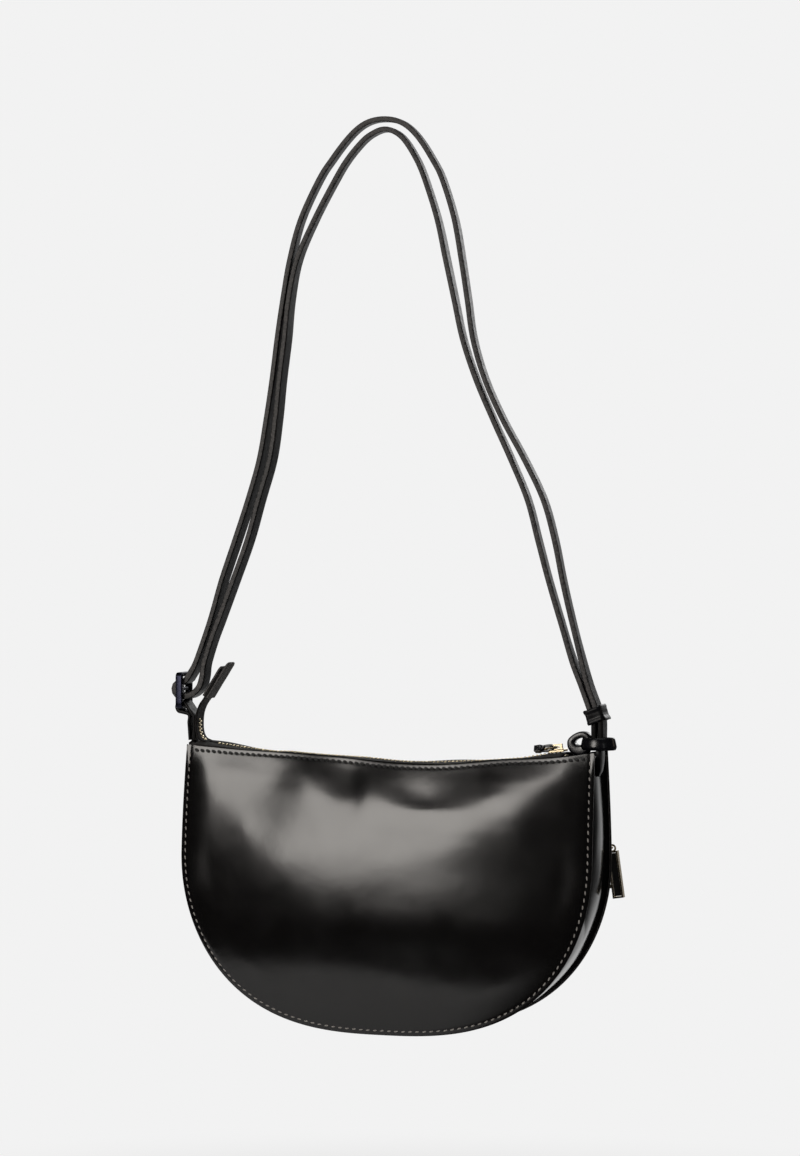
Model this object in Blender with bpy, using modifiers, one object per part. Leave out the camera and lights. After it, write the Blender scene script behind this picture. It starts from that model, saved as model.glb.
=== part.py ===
# Half-moon crossbody bag in smooth leather, hanging from its doubled strap.
# Metres, +Z up, +X along the bag towards the knotted strap end, -Y the plain back.
# The world origin is the underside of the strap's apex, where the bag hangs.
# Heights in this file are measured from the line through the two top corners,
# and the empty hang_frame carries everything down by STRAP_HEIGHT.

import math

import bmesh
import bpy
from mathutils import Matrix, Vector

# Bag body
CORNER_HALF = 0.1295
WIDEST_HALF = 0.1300
WIDEST_DEPTH = 0.0645
BAG_HEIGHT = 0.1718
LOWER_DEPTH_POWER = 2.05
LOWER_WIDTH_POWER = 2.75
HEM_SAG = 0.0100
TOP_GAP_HALF = 0.0140
DEEP_GAP_HALF = 0.0225
GAP_FLARE_DEPTH = 0.0900
CROWN = 0.0050
CROWN_RISE_DEPTH = 0.0500
PANEL_WALL = 0.0014
SEAM_CLEARANCE = 0.0003
GUSSET_WALL = 0.0012
SEAM_DEPTH = 0.0030
GUSSET_EDGE_INSET = 0.0004
GUSSET_BULGE = 0.0016
GUSSET_BULGE_DEPTH = 0.0500
GUSSET_TOP_DROP = 0.0030
SIDE_STEPS = 5
LOWER_STEPS = 33
PANEL_ROWS = 9
GUSSET_BODY_STEPS = 4

# Lining
LINING_WALL = 0.0005
LINING_CLEARANCE = 0.0006
LINING_TOP_DEPTH = 0.0100
LINING_EDGE_INSET = 0.0056
LINING_GUSSET_INSET = 0.0046
LINING_ROWS = 5
LINING_FRONT_SETBACK = 0.0100

# Zips
TOOTH_PITCH = 0.0036
TOOTH_WIDTH = 0.0014
TOOTH_LENGTH = 0.0017
TOOTH_HEIGHT = 0.0018
TOOTH_CORD_WIDTH = 0.0006
TOOTH_CORD_OUT = 0.0016
TAPE_WALL = 0.0006
TAPE_INNER_EDGE = 0.0019
TAPE_HEM_CLEARANCE = 0.0007
TAPE_HEM_DEPTH = 0.0070
TAPE_BEND_DEPTH = 0.0012
TAPE_SHOULDER_IN = 0.0025
TAPE_SHOULDER_RISE = 0.0007
TAPE_CROWN_RISE = 0.0020
TAPE_STATIONS = 16
MAIN_ZIP_LEFT_INSET = 0.0115
MAIN_ZIP_RIGHT_INSET = 0.0210
MAIN_TEETH_LEFT_INSET = 0.0145
MAIN_TEETH_RIGHT_INSET = 0.0230
SLIDER_LENGTH = 0.0100
SLIDER_WIDTH = 0.0086
SLIDER_TOP_WALL = 0.0012
SLIDER_LIP = 0.0008
SLIDER_LIP_DROP = 0.0007
SLIDER_CLEARANCE = 0.0004
SLIDER_BASE_WALL = 0.0009
SLIDER_BRIDGE_LENGTH = 0.0060
SLIDER_BRIDGE_WIDTH = 0.0024
SLIDER_BRIDGE_HEIGHT = 0.0030
SLIDER_HOLE_LENGTH = 0.0034
SLIDER_HOLE_HEIGHT = 0.0018
SLIDER_BEVEL = 0.0005
MAIN_SLIDER_INSET = 0.0262

# Main pull
LINK_WIRE_RADIUS = 0.0006
LINK_LENGTH = 0.0072
LINK_WIDTH = 0.0076
PULL_LENGTH = 0.0115
PULL_WIDTH = 0.0046
PULL_WALL = 0.0012
PULL_EYE_RADIUS = 0.0016

# Front pocket
FRONT_ZIP_DEPTH = 0.0600
FRONT_SLOT_INSET = 0.0125
FRONT_SLOT_HEIGHT = 0.0100
FRONT_ZIP_INSET = 0.0095
FRONT_TAPE_OVERLAP = 0.0050
FRONT_TAPE_SETBACK = 0.0008
FRONT_TEETH_LEFT_INSET = 0.0180
FRONT_TEETH_RIGHT_INSET = 0.0145
FRONT_SLIDER_INSET = 0.0190
POCKET_INSET = 0.0260
POCKET_DEPTH = 0.0820
POCKET_THICKNESS = 0.0072
POCKET_CLEARANCE = 0.0019
POCKET_FRONT_DROP = 0.0080
POCKET_BACK_RISE = 0.0085
POCKET_WALL = 0.0004
POCKET_ROWS = 6
POCKET_SIDES = 32

# Front pull
FRONT_LINK_LENGTH = 0.0130
FRONT_LINK_WIDTH = 0.0056
FRONT_LINK_OUT_DEGREES = 15.0
FRONT_RING_OFFSET = 0.0016
FRONT_RING_RADIUS = 0.0032
FRONT_RING_WIRE_RADIUS = 0.0007
BAR_LENGTH = 0.0285
BAR_WIDTH = 0.0066
BAR_THICKNESS = 0.0040
BAR_LEAN_DEGREES = 8.0
BAR_RIM = 0.0010
BAR_INLAY_WALL = 0.0024
BAR_LUG_RADIUS = 0.0019
BAR_LUG_WIRE_RADIUS = 0.0006
BAR_LUG_RISE = 0.0017
BAR_PEG_RADIUS = 0.0012
BAR_PEG_LENGTH = 0.0050
BAR_PEG_SETBACK = 0.0008
BAR_PEG_PLACE_SHARE = 0.74

# Strap
STRAP_HEIGHT = 0.3732
STRAP_REACH_BEYOND_CORNER = 0.0005
STRAP_WIDTH = 0.0120
STRAP_WALL = 0.0025
STRAP_STEPS = 2
PIVOT_RISE = 0.0140
TONGUE_WALL = 0.0010
TONGUE_CLEARANCE = 0.0003
TONGUE_RISE = 0.0025
TONGUE_TIP_HALF = 0.0028
TONGUE_ROOT_DROP = 0.0150
TONGUE_ROOT_SEAT = 0.0019
TONGUE_STEP_RISE = 0.0015
TONGUE_CORNER = 0.0015
TAB_WIDTH = 0.0120
RIGHT_TONGUE_INSET = 0.0013
LEFT_TONGUE_OUTSET = 0.0007
STRAND_END_BELOW_PIVOT = 0.0005
STRAND_LEAN = 0.3740
STRAND_STRAIGHT_RISE = 0.0180
STRAND_LEAN_TOP = 0.0400

# Keeper and knot
KEEPER_LENGTH = 0.0090
KEEPER_RISE = 0.0172
KEEPER_WALL = 0.0012
KEEPER_CLEARANCE = 0.0006
KEEPER_CORNER = 0.0010
BAND_WALL = 0.0018
WRAP_OFFSET = 0.0016
WRAP_HALF_LENGTH = 0.0110
WRAP_HALF_WIDTH = 0.0075
WRAP_BOTTOM = 0.0011
WRAP_HEIGHT = 0.0074
KNOT_STEPS = 28
LOOP_OFFSET = 0.0100
LOOP_CENTRE_RISE = 0.0045
LOOP_HALF_LENGTH = 0.0062
LOOP_HALF_HEIGHT = 0.0061
LOOP_WIDTH = 0.0070
LOOP_WALL = 0.0026

# Buckle and left tab
BUCKLE_OUTSET = 0.0098
BUCKLE_THICKNESS = 0.0030
BUCKLE_WIDTH = 0.0185
BUCKLE_BOTTOM = 0.0210
BUCKLE_HEIGHT = 0.0230
BUCKLE_BAR = 0.0030
BUCKLE_CENTRE_BAR = 0.0025
BUCKLE_LOWER_SLOT = 0.0082
BUCKLE_SLOT_WIDTH = 0.0130
BUCKLE_BEVEL = 0.0006
TAB_WALL = 0.0012
TAB_END_BELOW_PIVOT = 0.0040

# Zip tail
TAIL_TAPE_WIDTH = 0.0130
TAIL_TAPE_WALL = 0.0008
TAIL_TEETH_WIDTH = 0.0034
TAIL_TEETH_WALL = 0.0005
TAIL_TOOTH_HEIGHT = 0.0009
TAIL_TOOTH_PITCH = 0.0026
TAIL_TAB_WIDTH = 0.0125
TAIL_TAB_WALL = 0.0013
TAIL_TAB_GAP = 0.0003
TAIL_TAB_UPPER_LENGTH = 0.0215
TAIL_TAB_LOWER_LENGTH = 0.0262
TAIL_TAB_ENTRY = 0.0190
TAIL_TEETH_START = 0.0020
TAIL_TEETH_LENGTH = 0.0170

# Clearance where two pieces meet, and how far a cutter runs past what it cuts
GAP = 0.0003
OVERRUN = 0.0100

# The shoulder point, where the inner strand is highest, in shares of the strap's reach
APEX_SHARE = -0.0446

# The doubled strap's route, from the knot over the shoulder and down to the buckle:
# each pair is a share of STRAP_REACH along X and of STRAP_HEIGHT up.
OUTER_STRAND_SHARES = (
    (0.907, 0.1458), (0.859, 0.210), (0.816, 0.2735), (0.778, 0.3375), (0.725, 0.4016),
    (0.635, 0.4657), (0.531, 0.5303), (0.445, 0.5949), (0.388, 0.6598), (0.360, 0.7244),
    (0.331, 0.7890), (0.297, 0.8539), (0.238, 0.9190), (0.190, 0.9517), (0.128, 0.9849),
    (0.070, 1.0060), (0.010, 1.0170), (-0.060, 1.0200), (-0.124, 1.0160), (-0.180, 1.0050),
    (-0.238, 0.9855), (-0.304, 0.9571), (-0.367, 0.9257), (-0.459, 0.8609), (-0.511, 0.7962),
    (-0.543, 0.7311), (-0.571, 0.6654), (-0.596, 0.6000), (-0.626, 0.5343), (-0.661, 0.4687),
    (-0.718, 0.4027), (-0.784, 0.3367), (-0.852, 0.2705), (-0.910, 0.2040), (-0.986, 0.1375),
    (-1.024, 0.1153), (-1.051, 0.1060),
)
INNER_STRAND_SHARES = (
    (-0.981, 0.0938), (-0.958, 0.1112), (-0.942, 0.1320), (-0.907, 0.1700), (-0.868, 0.2043),
    (-0.794, 0.2705), (-0.722, 0.3367),
    (-0.666, 0.4027), (-0.609, 0.4687), (-0.580, 0.5343), (-0.560, 0.6000), (-0.535, 0.6654),
    (-0.515, 0.7308), (-0.475, 0.7960), (-0.390, 0.8606), (-0.286, 0.9250), (-0.226, 0.9569),
    (-0.150, 0.9860), (-0.095, 0.9985), (-0.045, 1.0034), (0.005, 0.9985), (0.055, 0.9840),
    (0.112, 0.9528), (0.153, 0.9200), (0.214, 0.8547), (0.256, 0.7896), (0.297, 0.7244),
    (0.338, 0.6600), (0.402, 0.5952), (0.484, 0.5303), (0.570, 0.4660), (0.649, 0.4016),
    (0.699, 0.3375), (0.749, 0.2735), (0.805, 0.2094), (0.862, 0.1460),
)
# The strap's turn through the buckle, in shares of BUCKLE_HEIGHT: away from the frame's
# middle plane along X, and up from the frame's bottom edge.
BUCKLE_TURN_SHARES = (
    (0.130, 0.765), (0.000, 0.735), (-0.150, 0.706), (-0.232, 0.640), (-0.258, 0.535),
    (-0.232, 0.430), (-0.150, 0.362), (0.000, 0.346), (0.180, 0.356), (0.370, 0.425),
)
# The left tab round the buckle's bottom bar, in shares of BUCKLE_HEIGHT from that bar's centre.
TAB_LOOP_SHARES = (
    (0.065, -0.155), (-0.080, -0.130), (-0.148, -0.020), (-0.105, 0.100), (0.000, 0.148), (0.110, 0.115),
)
# The zip tail's rise from the corner, in shares of TAIL_TAPE_WIDTH from its hinge.
TAIL_RISE_SHARES = (
    (0.030, 0.020), (-0.300, 0.140), (-0.560, 0.500), (-0.650, 0.950), (-0.600, 1.400),
    (-0.440, 1.800), (-0.220, 2.110),
)
TAIL_LEAN_DEGREES = 36.5
TAIL_HINGE_INSET = 0.0105
TAIL_HINGE_RISE = 0.0006

# Places that follow from the sizes above
STRAP_REACH = CORNER_HALF + STRAP_REACH_BEYOND_CORNER
APEX_X = APEX_SHARE * STRAP_REACH
RIGHT_TONGUE_X = CORNER_HALF - RIGHT_TONGUE_INSET
LEFT_TONGUE_X = -CORNER_HALF - LEFT_TONGUE_OUTSET
TONGUE_ROOT_INNER = CORNER_HALF - TONGUE_ROOT_SEAT
WRAP_CENTRE_X = RIGHT_TONGUE_X - WRAP_OFFSET
LOOP_CENTRE_X = WRAP_CENTRE_X - LOOP_OFFSET
BUCKLE_X = LEFT_TONGUE_X - BUCKLE_OUTSET
TAIL_HINGE_X = TAIL_HINGE_INSET - CORNER_HALF
MAIN_ZIP_LEFT = MAIN_ZIP_LEFT_INSET - CORNER_HALF
MAIN_ZIP_RIGHT = CORNER_HALF - MAIN_ZIP_RIGHT_INSET
MAIN_TEETH_LEFT = MAIN_TEETH_LEFT_INSET - CORNER_HALF
MAIN_TEETH_RIGHT = CORNER_HALF - MAIN_TEETH_RIGHT_INSET
MAIN_SLIDER_X = CORNER_HALF - MAIN_SLIDER_INSET
FRONT_SLOT_HALF = WIDEST_HALF - FRONT_SLOT_INSET
FRONT_ZIP_HALF = WIDEST_HALF - FRONT_ZIP_INSET
FRONT_TEETH_LEFT = FRONT_TEETH_LEFT_INSET - WIDEST_HALF
FRONT_TEETH_RIGHT = WIDEST_HALF - FRONT_TEETH_RIGHT_INSET
FRONT_SLIDER_X = WIDEST_HALF - FRONT_SLIDER_INSET
POCKET_HALF = WIDEST_HALF - POCKET_INSET


def clear_scene():
    for obj in list(bpy.data.objects):
        bpy.data.objects.remove(obj)
    for collection in list(bpy.data.collections):
        bpy.data.collections.remove(collection)


clear_scene()
BAG = bpy.data.collections.new("crossbody_bag")
CUTTERS = bpy.data.collections.new("cutters")
bpy.context.scene.collection.children.link(BAG)
bpy.context.scene.collection.children.link(CUTTERS)
CUTTERS.hide_render = True


def make_material(name, colour, roughness, metallic=0.0):
    material = bpy.data.materials.new(name)
    material.use_nodes = True
    shader = material.node_tree.nodes["Principled BSDF"]
    shader.inputs["Base Color"].default_value = (*colour, 1.0)
    shader.inputs["Roughness"].default_value = roughness
    shader.inputs["Metallic"].default_value = metallic
    return material


LEATHER = make_material("box_leather", (0.012, 0.011, 0.011), 0.26)
STRAP_LEATHER = make_material("strap_leather", (0.020, 0.019, 0.019), 0.42)
LINING_CLOTH = make_material("lining_cloth", (0.030, 0.027, 0.025), 0.85)
TAPE_CLOTH = make_material("zip_tape", (0.018, 0.015, 0.015), 0.80)
ZIP_METAL = make_material("pale_gold_zip_metal", (0.83, 0.73, 0.52), 0.28, 1.0)
PULL_METAL = make_material("pale_nickel", (0.72, 0.69, 0.62), 0.25, 1.0)
BUCKLE_METAL = make_material("black_nickel", (0.045, 0.045, 0.055), 0.22, 1.0)
INLAY = make_material("dark_enamel", (0.020, 0.019, 0.018), 0.35)

hang_frame = bpy.data.objects.new("hang_frame", None)
hang_frame.location = (-APEX_X, 0.0, -STRAP_HEIGHT)
BAG.objects.link(hang_frame)


def add_object(name, mesh, material, parent=hang_frame, place=(0.0, 0.0, 0.0)):
    obj = bpy.data.objects.new(name, mesh)
    obj.location = place
    obj.parent = parent
    mesh.materials.clear()
    mesh.materials.append(material)
    mesh.shade_smooth()
    mesh.set_sharp_from_angle(angle=math.radians(40))
    BAG.objects.link(obj)
    return obj


def mesh_from(name, work):
    bmesh.ops.recalc_face_normals(work, faces=work.faces)
    if work.calc_volume(signed=True) < 0:
        bmesh.ops.reverse_faces(work, faces=work.faces)
    mesh = bpy.data.meshes.new(name)
    work.to_mesh(mesh)
    work.free()
    return mesh


def add_solidify(obj, wall, offset):
    modifier = obj.modifiers.new("Wall", "SOLIDIFY")
    modifier.thickness = wall
    modifier.offset = offset
    modifier.use_even_offset = True
    return modifier


def add_bevel(obj, width, segments=1):
    modifier = obj.modifiers.new("Edges", "BEVEL")
    modifier.width = width
    modifier.segments = segments
    modifier.limit_method = "ANGLE"
    modifier.angle_limit = math.radians(40)


def add_cutter(name, mesh, parent=hang_frame, place=(0.0, 0.0, 0.0)):
    cutter = bpy.data.objects.new(name, mesh)
    cutter.location = place
    cutter.parent = parent
    cutter.hide_render = True
    cutter.display_type = "WIRE"
    CUTTERS.objects.link(cutter)
    return cutter


def add_boolean(obj, other, operation="DIFFERENCE"):
    modifier = obj.modifiers.new("Shape", "BOOLEAN")
    modifier.operation = operation
    modifier.object = other
    modifier.solver = "EXACT"


def box_mesh(name, size, centre=(0.0, 0.0, 0.0)):
    work = bmesh.new()
    bmesh.ops.create_cube(work, size=1.0)
    bmesh.ops.scale(work, vec=size, verts=work.verts)
    bmesh.ops.translate(work, vec=centre, verts=work.verts)
    return mesh_from(name, work)


def grid_mesh(name, columns, rows, place, merge=False):
    """A sheet of columns by rows cells whose corners stand at place(u, v), both from 0 to 1."""
    work = bmesh.new()
    bmesh.ops.create_grid(work, x_segments=columns, y_segments=rows, size=0.5)
    for vert in work.verts:
        vert.co = Vector(place(vert.co.x + 0.5, vert.co.y + 0.5))
    if merge:
        bmesh.ops.remove_doubles(work, verts=work.verts, dist=GAP / 100)
    mesh = bpy.data.meshes.new(name)
    work.to_mesh(mesh)
    work.free()
    return mesh


def smooth_route(points, steps):
    """Points on a Catmull-Rom curve through the given ones, steps to each stretch."""
    route = []
    ends = [points[0] * 2 - points[1]] + list(points) + [points[-1] * 2 - points[-2]]
    for i in range(len(points) - 1):
        before, start, stop, after = ends[i : i + 4]
        for step in range(steps):
            t = step / steps
            route.append(
                0.5 * (2 * start + (stop - before) * t
                       + (2 * before - 5 * start + 4 * stop - after) * t ** 2
                       + (3 * start - before - 3 * stop + after) * t ** 3)
            )
    route.append(points[-1])
    return route


def ribbon_mesh(name, route, across, closed=False):
    """A band: the route moved both ways along across, ready for a Solidify."""
    work = bmesh.new()
    verts = [work.verts.new(point - across / 2) for point in route]
    edges = [work.edges.new(pair) for pair in zip(verts, verts[1:])]
    if closed:
        edges.append(work.edges.new((verts[-1], verts[0])))
    swept = bmesh.ops.extrude_edge_only(work, edges=edges)
    moved = [item for item in swept["geom"] if isinstance(item, bmesh.types.BMVert)]
    bmesh.ops.translate(work, vec=across, verts=moved)
    bmesh.ops.recalc_face_normals(work, faces=work.faces)
    mesh = bpy.data.meshes.new(name)
    work.to_mesh(mesh)
    work.free()
    return mesh


def loft_mesh(name, sections):
    """A closed body through rings of points, with the first and the last ring filled."""
    work = bmesh.new()
    loops = []
    for section in sections:
        verts = [work.verts.new(point) for point in section]
        loops.append([work.edges.new(pair) for pair in zip(verts, verts[1:] + verts[:1])])
    for low, high in zip(loops, loops[1:]):
        bmesh.ops.bridge_loops(work, edges=low + high)
    bmesh.ops.holes_fill(work, edges=loops[0] + loops[-1], sides=0)
    return mesh_from(name, work)


def wire_object(name, points, radius, material, parent, place=(0.0, 0.0, 0.0)):
    """A closed loop of round wire through the points."""
    curve = bpy.data.curves.new(name, "CURVE")
    curve.dimensions = "3D"
    curve.bevel_depth = radius
    curve.bevel_resolution = 2
    spline = curve.splines.new("POLY")
    spline.points.add(len(points) - 1)
    for slot, point in zip(spline.points, points):
        slot.co = (*point, 1.0)
    spline.use_cyclic_u = True
    curve.materials.append(material)
    obj = bpy.data.objects.new(name, curve)
    obj.parent = parent
    obj.location = place
    BAG.objects.link(obj)
    return obj


def ellipse(centre, along, up, count):
    return [
        centre + along * math.cos(math.tau * i / count) + up * math.sin(math.tau * i / count)
        for i in range(count)
    ]


def toothed_mesh(name, teeth, place, side, reach):
    """A row of teeth on a cord. The cord is a slab of unit height and width, two cells to a tooth,
    side picks the face that each tooth grows from, reach is how far, and place maps the slab."""
    work = bmesh.new()
    cells = 2 * teeth
    bmesh.ops.create_grid(work, x_segments=cells, y_segments=1, size=0.5)
    for vert in work.verts:
        vert.co = Vector(((vert.co.x + 0.5) * cells, vert.co.y + 0.5, 0.0))
    raised = bmesh.ops.extrude_face_region(work, geom=list(work.faces))
    lifted = [item for item in raised["geom"] if isinstance(item, bmesh.types.BMVert)]
    bmesh.ops.translate(work, vec=(0.0, 0.0, 1.0), verts=lifted)
    bmesh.ops.recalc_face_normals(work, faces=work.faces)
    side = Vector(side)
    roots = [
        face for face in work.faces
        if face.normal.dot(side) > 0.9 and int(face.calc_center_median().x) % 2 == 0
    ]
    tips = bmesh.ops.extrude_discrete_faces(work, faces=roots)["faces"]
    grown = list({vert for face in tips for vert in face.verts})
    bmesh.ops.translate(work, vec=side * reach, verts=grown)
    for vert in work.verts:
        vert.co = Vector(place(*vert.co))
    return mesh_from(name, work)


def tooth_place(corner, pitch, width):
    """How far along a row the corner of a cell stands: even corners start a tooth, odd ones end it."""
    index = round(corner)
    return (index // 2) * pitch + (index % 2) * width


# Shape of the bag: every function takes a place along X and a depth below the corners.
def hem_rise(x):
    return -HEM_SAG * (1 - (x / CORNER_HALF) ** 2)


def half_width(depth):
    if depth < WIDEST_DEPTH:
        swell = math.sin(math.pi / 2 * depth / WIDEST_DEPTH)
        return CORNER_HALF + (WIDEST_HALF - CORNER_HALF) * swell
    fall = min(1.0, (depth - WIDEST_DEPTH) / (BAG_HEIGHT - WIDEST_DEPTH))
    return WIDEST_HALF * (1 - fall ** LOWER_DEPTH_POWER) ** (1 / LOWER_WIDTH_POWER)


def gap_half(depth):
    flare = math.sin(math.pi / 2 * min(1.0, depth / GAP_FLARE_DEPTH))
    return TOP_GAP_HALF + (DEEP_GAP_HALF - TOP_GAP_HALF) * flare


def panel_y(x, depth):
    """Half the bag's inner thickness at a point of a panel."""
    width = half_width(depth)
    across = max(0.0, 1 - (x / width) ** 2) if width > GAP else 0.0
    fall = max(0.0, (depth - WIDEST_DEPTH) / (BAG_HEIGHT - WIDEST_DEPTH))
    rise = math.sin(math.pi / 2 * min(1.0, depth / CROWN_RISE_DEPTH))
    return gap_half(depth) + CROWN * rise * across * (1 - fall ** 2)


def outline(top_depth):
    """The half-moon's rim from the left corner down and round to the right one, as (x, rise)."""
    side = [top_depth + (WIDEST_DEPTH - top_depth) * i / SIDE_STEPS for i in range(SIDE_STEPS)]
    points = [(-half_width(depth), -depth) for depth in side]
    for step in range(LOWER_STEPS + 1):
        turn = math.pi * step / LOWER_STEPS
        reach = WIDEST_HALF * abs(math.cos(turn)) ** (2 / LOWER_WIDTH_POWER)
        fall = math.sin(turn) ** (2 / LOWER_DEPTH_POWER) if 0 < step < LOWER_STEPS else 0.0
        depth = WIDEST_DEPTH + (BAG_HEIGHT - WIDEST_DEPTH) * fall
        points.append((-reach if turn < math.pi / 2 else reach, -depth))
    points += [(half_width(depth), -depth) for depth in reversed(side)]
    return points


def rim_point(rim, index, inset):
    """A point of the rim moved towards the middle of the bag."""
    before = rim[max(index - 1, 0)]
    after = rim[min(index + 1, len(rim) - 1)]
    run = Vector((after[0] - before[0], after[1] - before[1])).normalized()
    return rim[index][0] - run.y * inset, rim[index][1] + run.x * inset


def face_sheet(name, top_depth, inset, rows, y_at):
    """A D-shaped sheet between the hem line and the rim, both moved in by top_depth and inset."""
    rim = outline(top_depth)
    end = CORNER_HALF - inset

    def place(u, v):
        index = round(u * (len(rim) - 1))
        top_x = end * (2 * u - 1)
        top_rise = -top_depth - HEM_SAG * (1 - (top_x / end) ** 2)
        rim_x, rim_rise = rim_point(rim, index, inset)
        x = top_x + (rim_x - top_x) * v
        rise = top_rise + (rim_rise - top_rise) * v
        return x, y_at(x, -rise), rise

    return grid_mesh(name, len(rim) - 1, rows, place, merge=True)


# Panels
def add_panels():
    stand_off = SEAM_CLEARANCE / 2
    back = face_sheet(
        "back_panel", 0.0, 0.0, PANEL_ROWS, lambda x, depth: -panel_y(x, depth) - stand_off
    )
    back_panel = add_object("back_panel", back, LEATHER)
    add_solidify(back_panel, PANEL_WALL, -1.0)
    front = face_sheet(
        "front_panel", 0.0, 0.0, PANEL_ROWS, lambda x, depth: panel_y(x, depth) + stand_off
    )
    front_panel = add_object("front_panel", front, LEATHER)
    add_solidify(front_panel, PANEL_WALL, 1.0)
    slot_depth = DEEP_GAP_HALF + CROWN + PANEL_WALL + OVERRUN
    slot_size = (2 * FRONT_SLOT_HALF, slot_depth, FRONT_SLOT_HEIGHT)
    slot = box_mesh("zip_slot", slot_size, (0.0, slot_depth / 2, 0.0))
    add_boolean(front_panel, add_cutter("zip_slot", slot, place=(0.0, 0.0, -FRONT_ZIP_DEPTH)))


def add_gusset():
    rim = outline(GUSSET_TOP_DROP)
    columns = GUSSET_BODY_STEPS + 2

    def place(u, v):
        index = round(u * (len(rim) - 1))
        depth = -rim[index][1]
        face = gap_half(depth) - SEAM_CLEARANCE / 2 - GUSSET_WALL
        step = round(v * columns) - 1
        if step < 0 or step > GUSSET_BODY_STEPS:
            inset = GUSSET_EDGE_INSET
            y = -face if step < 0 else face
        else:
            y = face * (2 * step / GUSSET_BODY_STEPS - 1)
            swell = math.sin(math.pi / 2 * min(1.0, depth / GUSSET_BULGE_DEPTH))
            inset = SEAM_DEPTH - GUSSET_BULGE * swell * (1 - (y / face) ** 2)
        x, rise = rim_point(rim, index, inset)
        return x, y, rise

    gusset = add_object("gusset", grid_mesh("gusset", len(rim) - 1, columns, place), LEATHER)
    add_solidify(gusset, GUSSET_WALL, 1.0)


def add_lining():
    back = face_sheet(
        "lining_back", LINING_TOP_DEPTH, LINING_EDGE_INSET, LINING_ROWS,
        lambda x, depth: LINING_CLEARANCE - panel_y(x, depth),
    )
    add_solidify(add_object("lining_back", back, LINING_CLOTH), LINING_WALL, 1.0)
    front = face_sheet(
        "lining_front", LINING_TOP_DEPTH, LINING_EDGE_INSET, LINING_ROWS,
        lambda x, depth: panel_y(x, depth) - LINING_FRONT_SETBACK,
    )
    add_solidify(add_object("lining_front", front, LINING_CLOTH), LINING_WALL, -1.0)
    rim = outline(LINING_TOP_DEPTH)

    def place(u, v):
        index = round(u * (len(rim) - 1))
        half = gap_half(-rim[index][1])
        low = LINING_CLEARANCE - half
        high = half - LINING_FRONT_SETBACK
        x, rise = rim_point(rim, index, LINING_GUSSET_INSET)
        return x, low + (high - low) * v, rise

    sheet = grid_mesh("lining_gusset", len(rim) - 1, 1, place)
    add_solidify(add_object("lining_gusset", sheet, LINING_CLOTH), LINING_WALL, 1.0)


# Main zip, in the valley between the hems
def main_tape_profile(x, side):
    """The tape's run from inside the hem up and over to the teeth, as (y, height over the hem)."""
    hem_y = panel_y(x, -hem_rise(x)) - TAPE_HEM_CLEARANCE
    return (
        (side * hem_y, -TAPE_HEM_DEPTH),
        (side * hem_y, -TAPE_BEND_DEPTH),
        (side * (hem_y - TAPE_SHOULDER_IN), TAPE_SHOULDER_RISE),
        (side * (hem_y + TAPE_INNER_EDGE) / 2, (TAPE_SHOULDER_RISE + 2 * TAPE_CROWN_RISE) / 3),
        (side * TAPE_INNER_EDGE, TAPE_CROWN_RISE),
    )


def add_main_tape(name, side):
    span = MAIN_ZIP_RIGHT - MAIN_ZIP_LEFT

    def place(u, v):
        x = MAIN_ZIP_LEFT + span * u
        y, height = main_tape_profile(x, side)[round(v * 4)]
        return x, y, hem_rise(x) + height

    tape = add_object(name, grid_mesh(name, TAPE_STATIONS, 4, place), TAPE_CLOTH)
    add_solidify(tape, TAPE_WALL, 0.0)


def add_main_teeth(name, side, shift):
    teeth = int((MAIN_TEETH_RIGHT - MAIN_TEETH_LEFT - shift) / TOOTH_PITCH)

    def place(u, v, w):
        x = MAIN_TEETH_LEFT + shift + tooth_place(u, TOOTH_PITCH, TOOTH_WIDTH)
        height = TAPE_CROWN_RISE + TOOTH_HEIGHT * (w - 0.5)
        return x, side * (TOOTH_CORD_OUT - v * TOOTH_CORD_WIDTH), hem_rise(x) + height

    reach = TOOTH_LENGTH / TOOTH_CORD_WIDTH
    add_object(name, toothed_mesh(name, teeth, place, (0.0, 1.0, 0.0), reach), ZIP_METAL)


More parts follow.
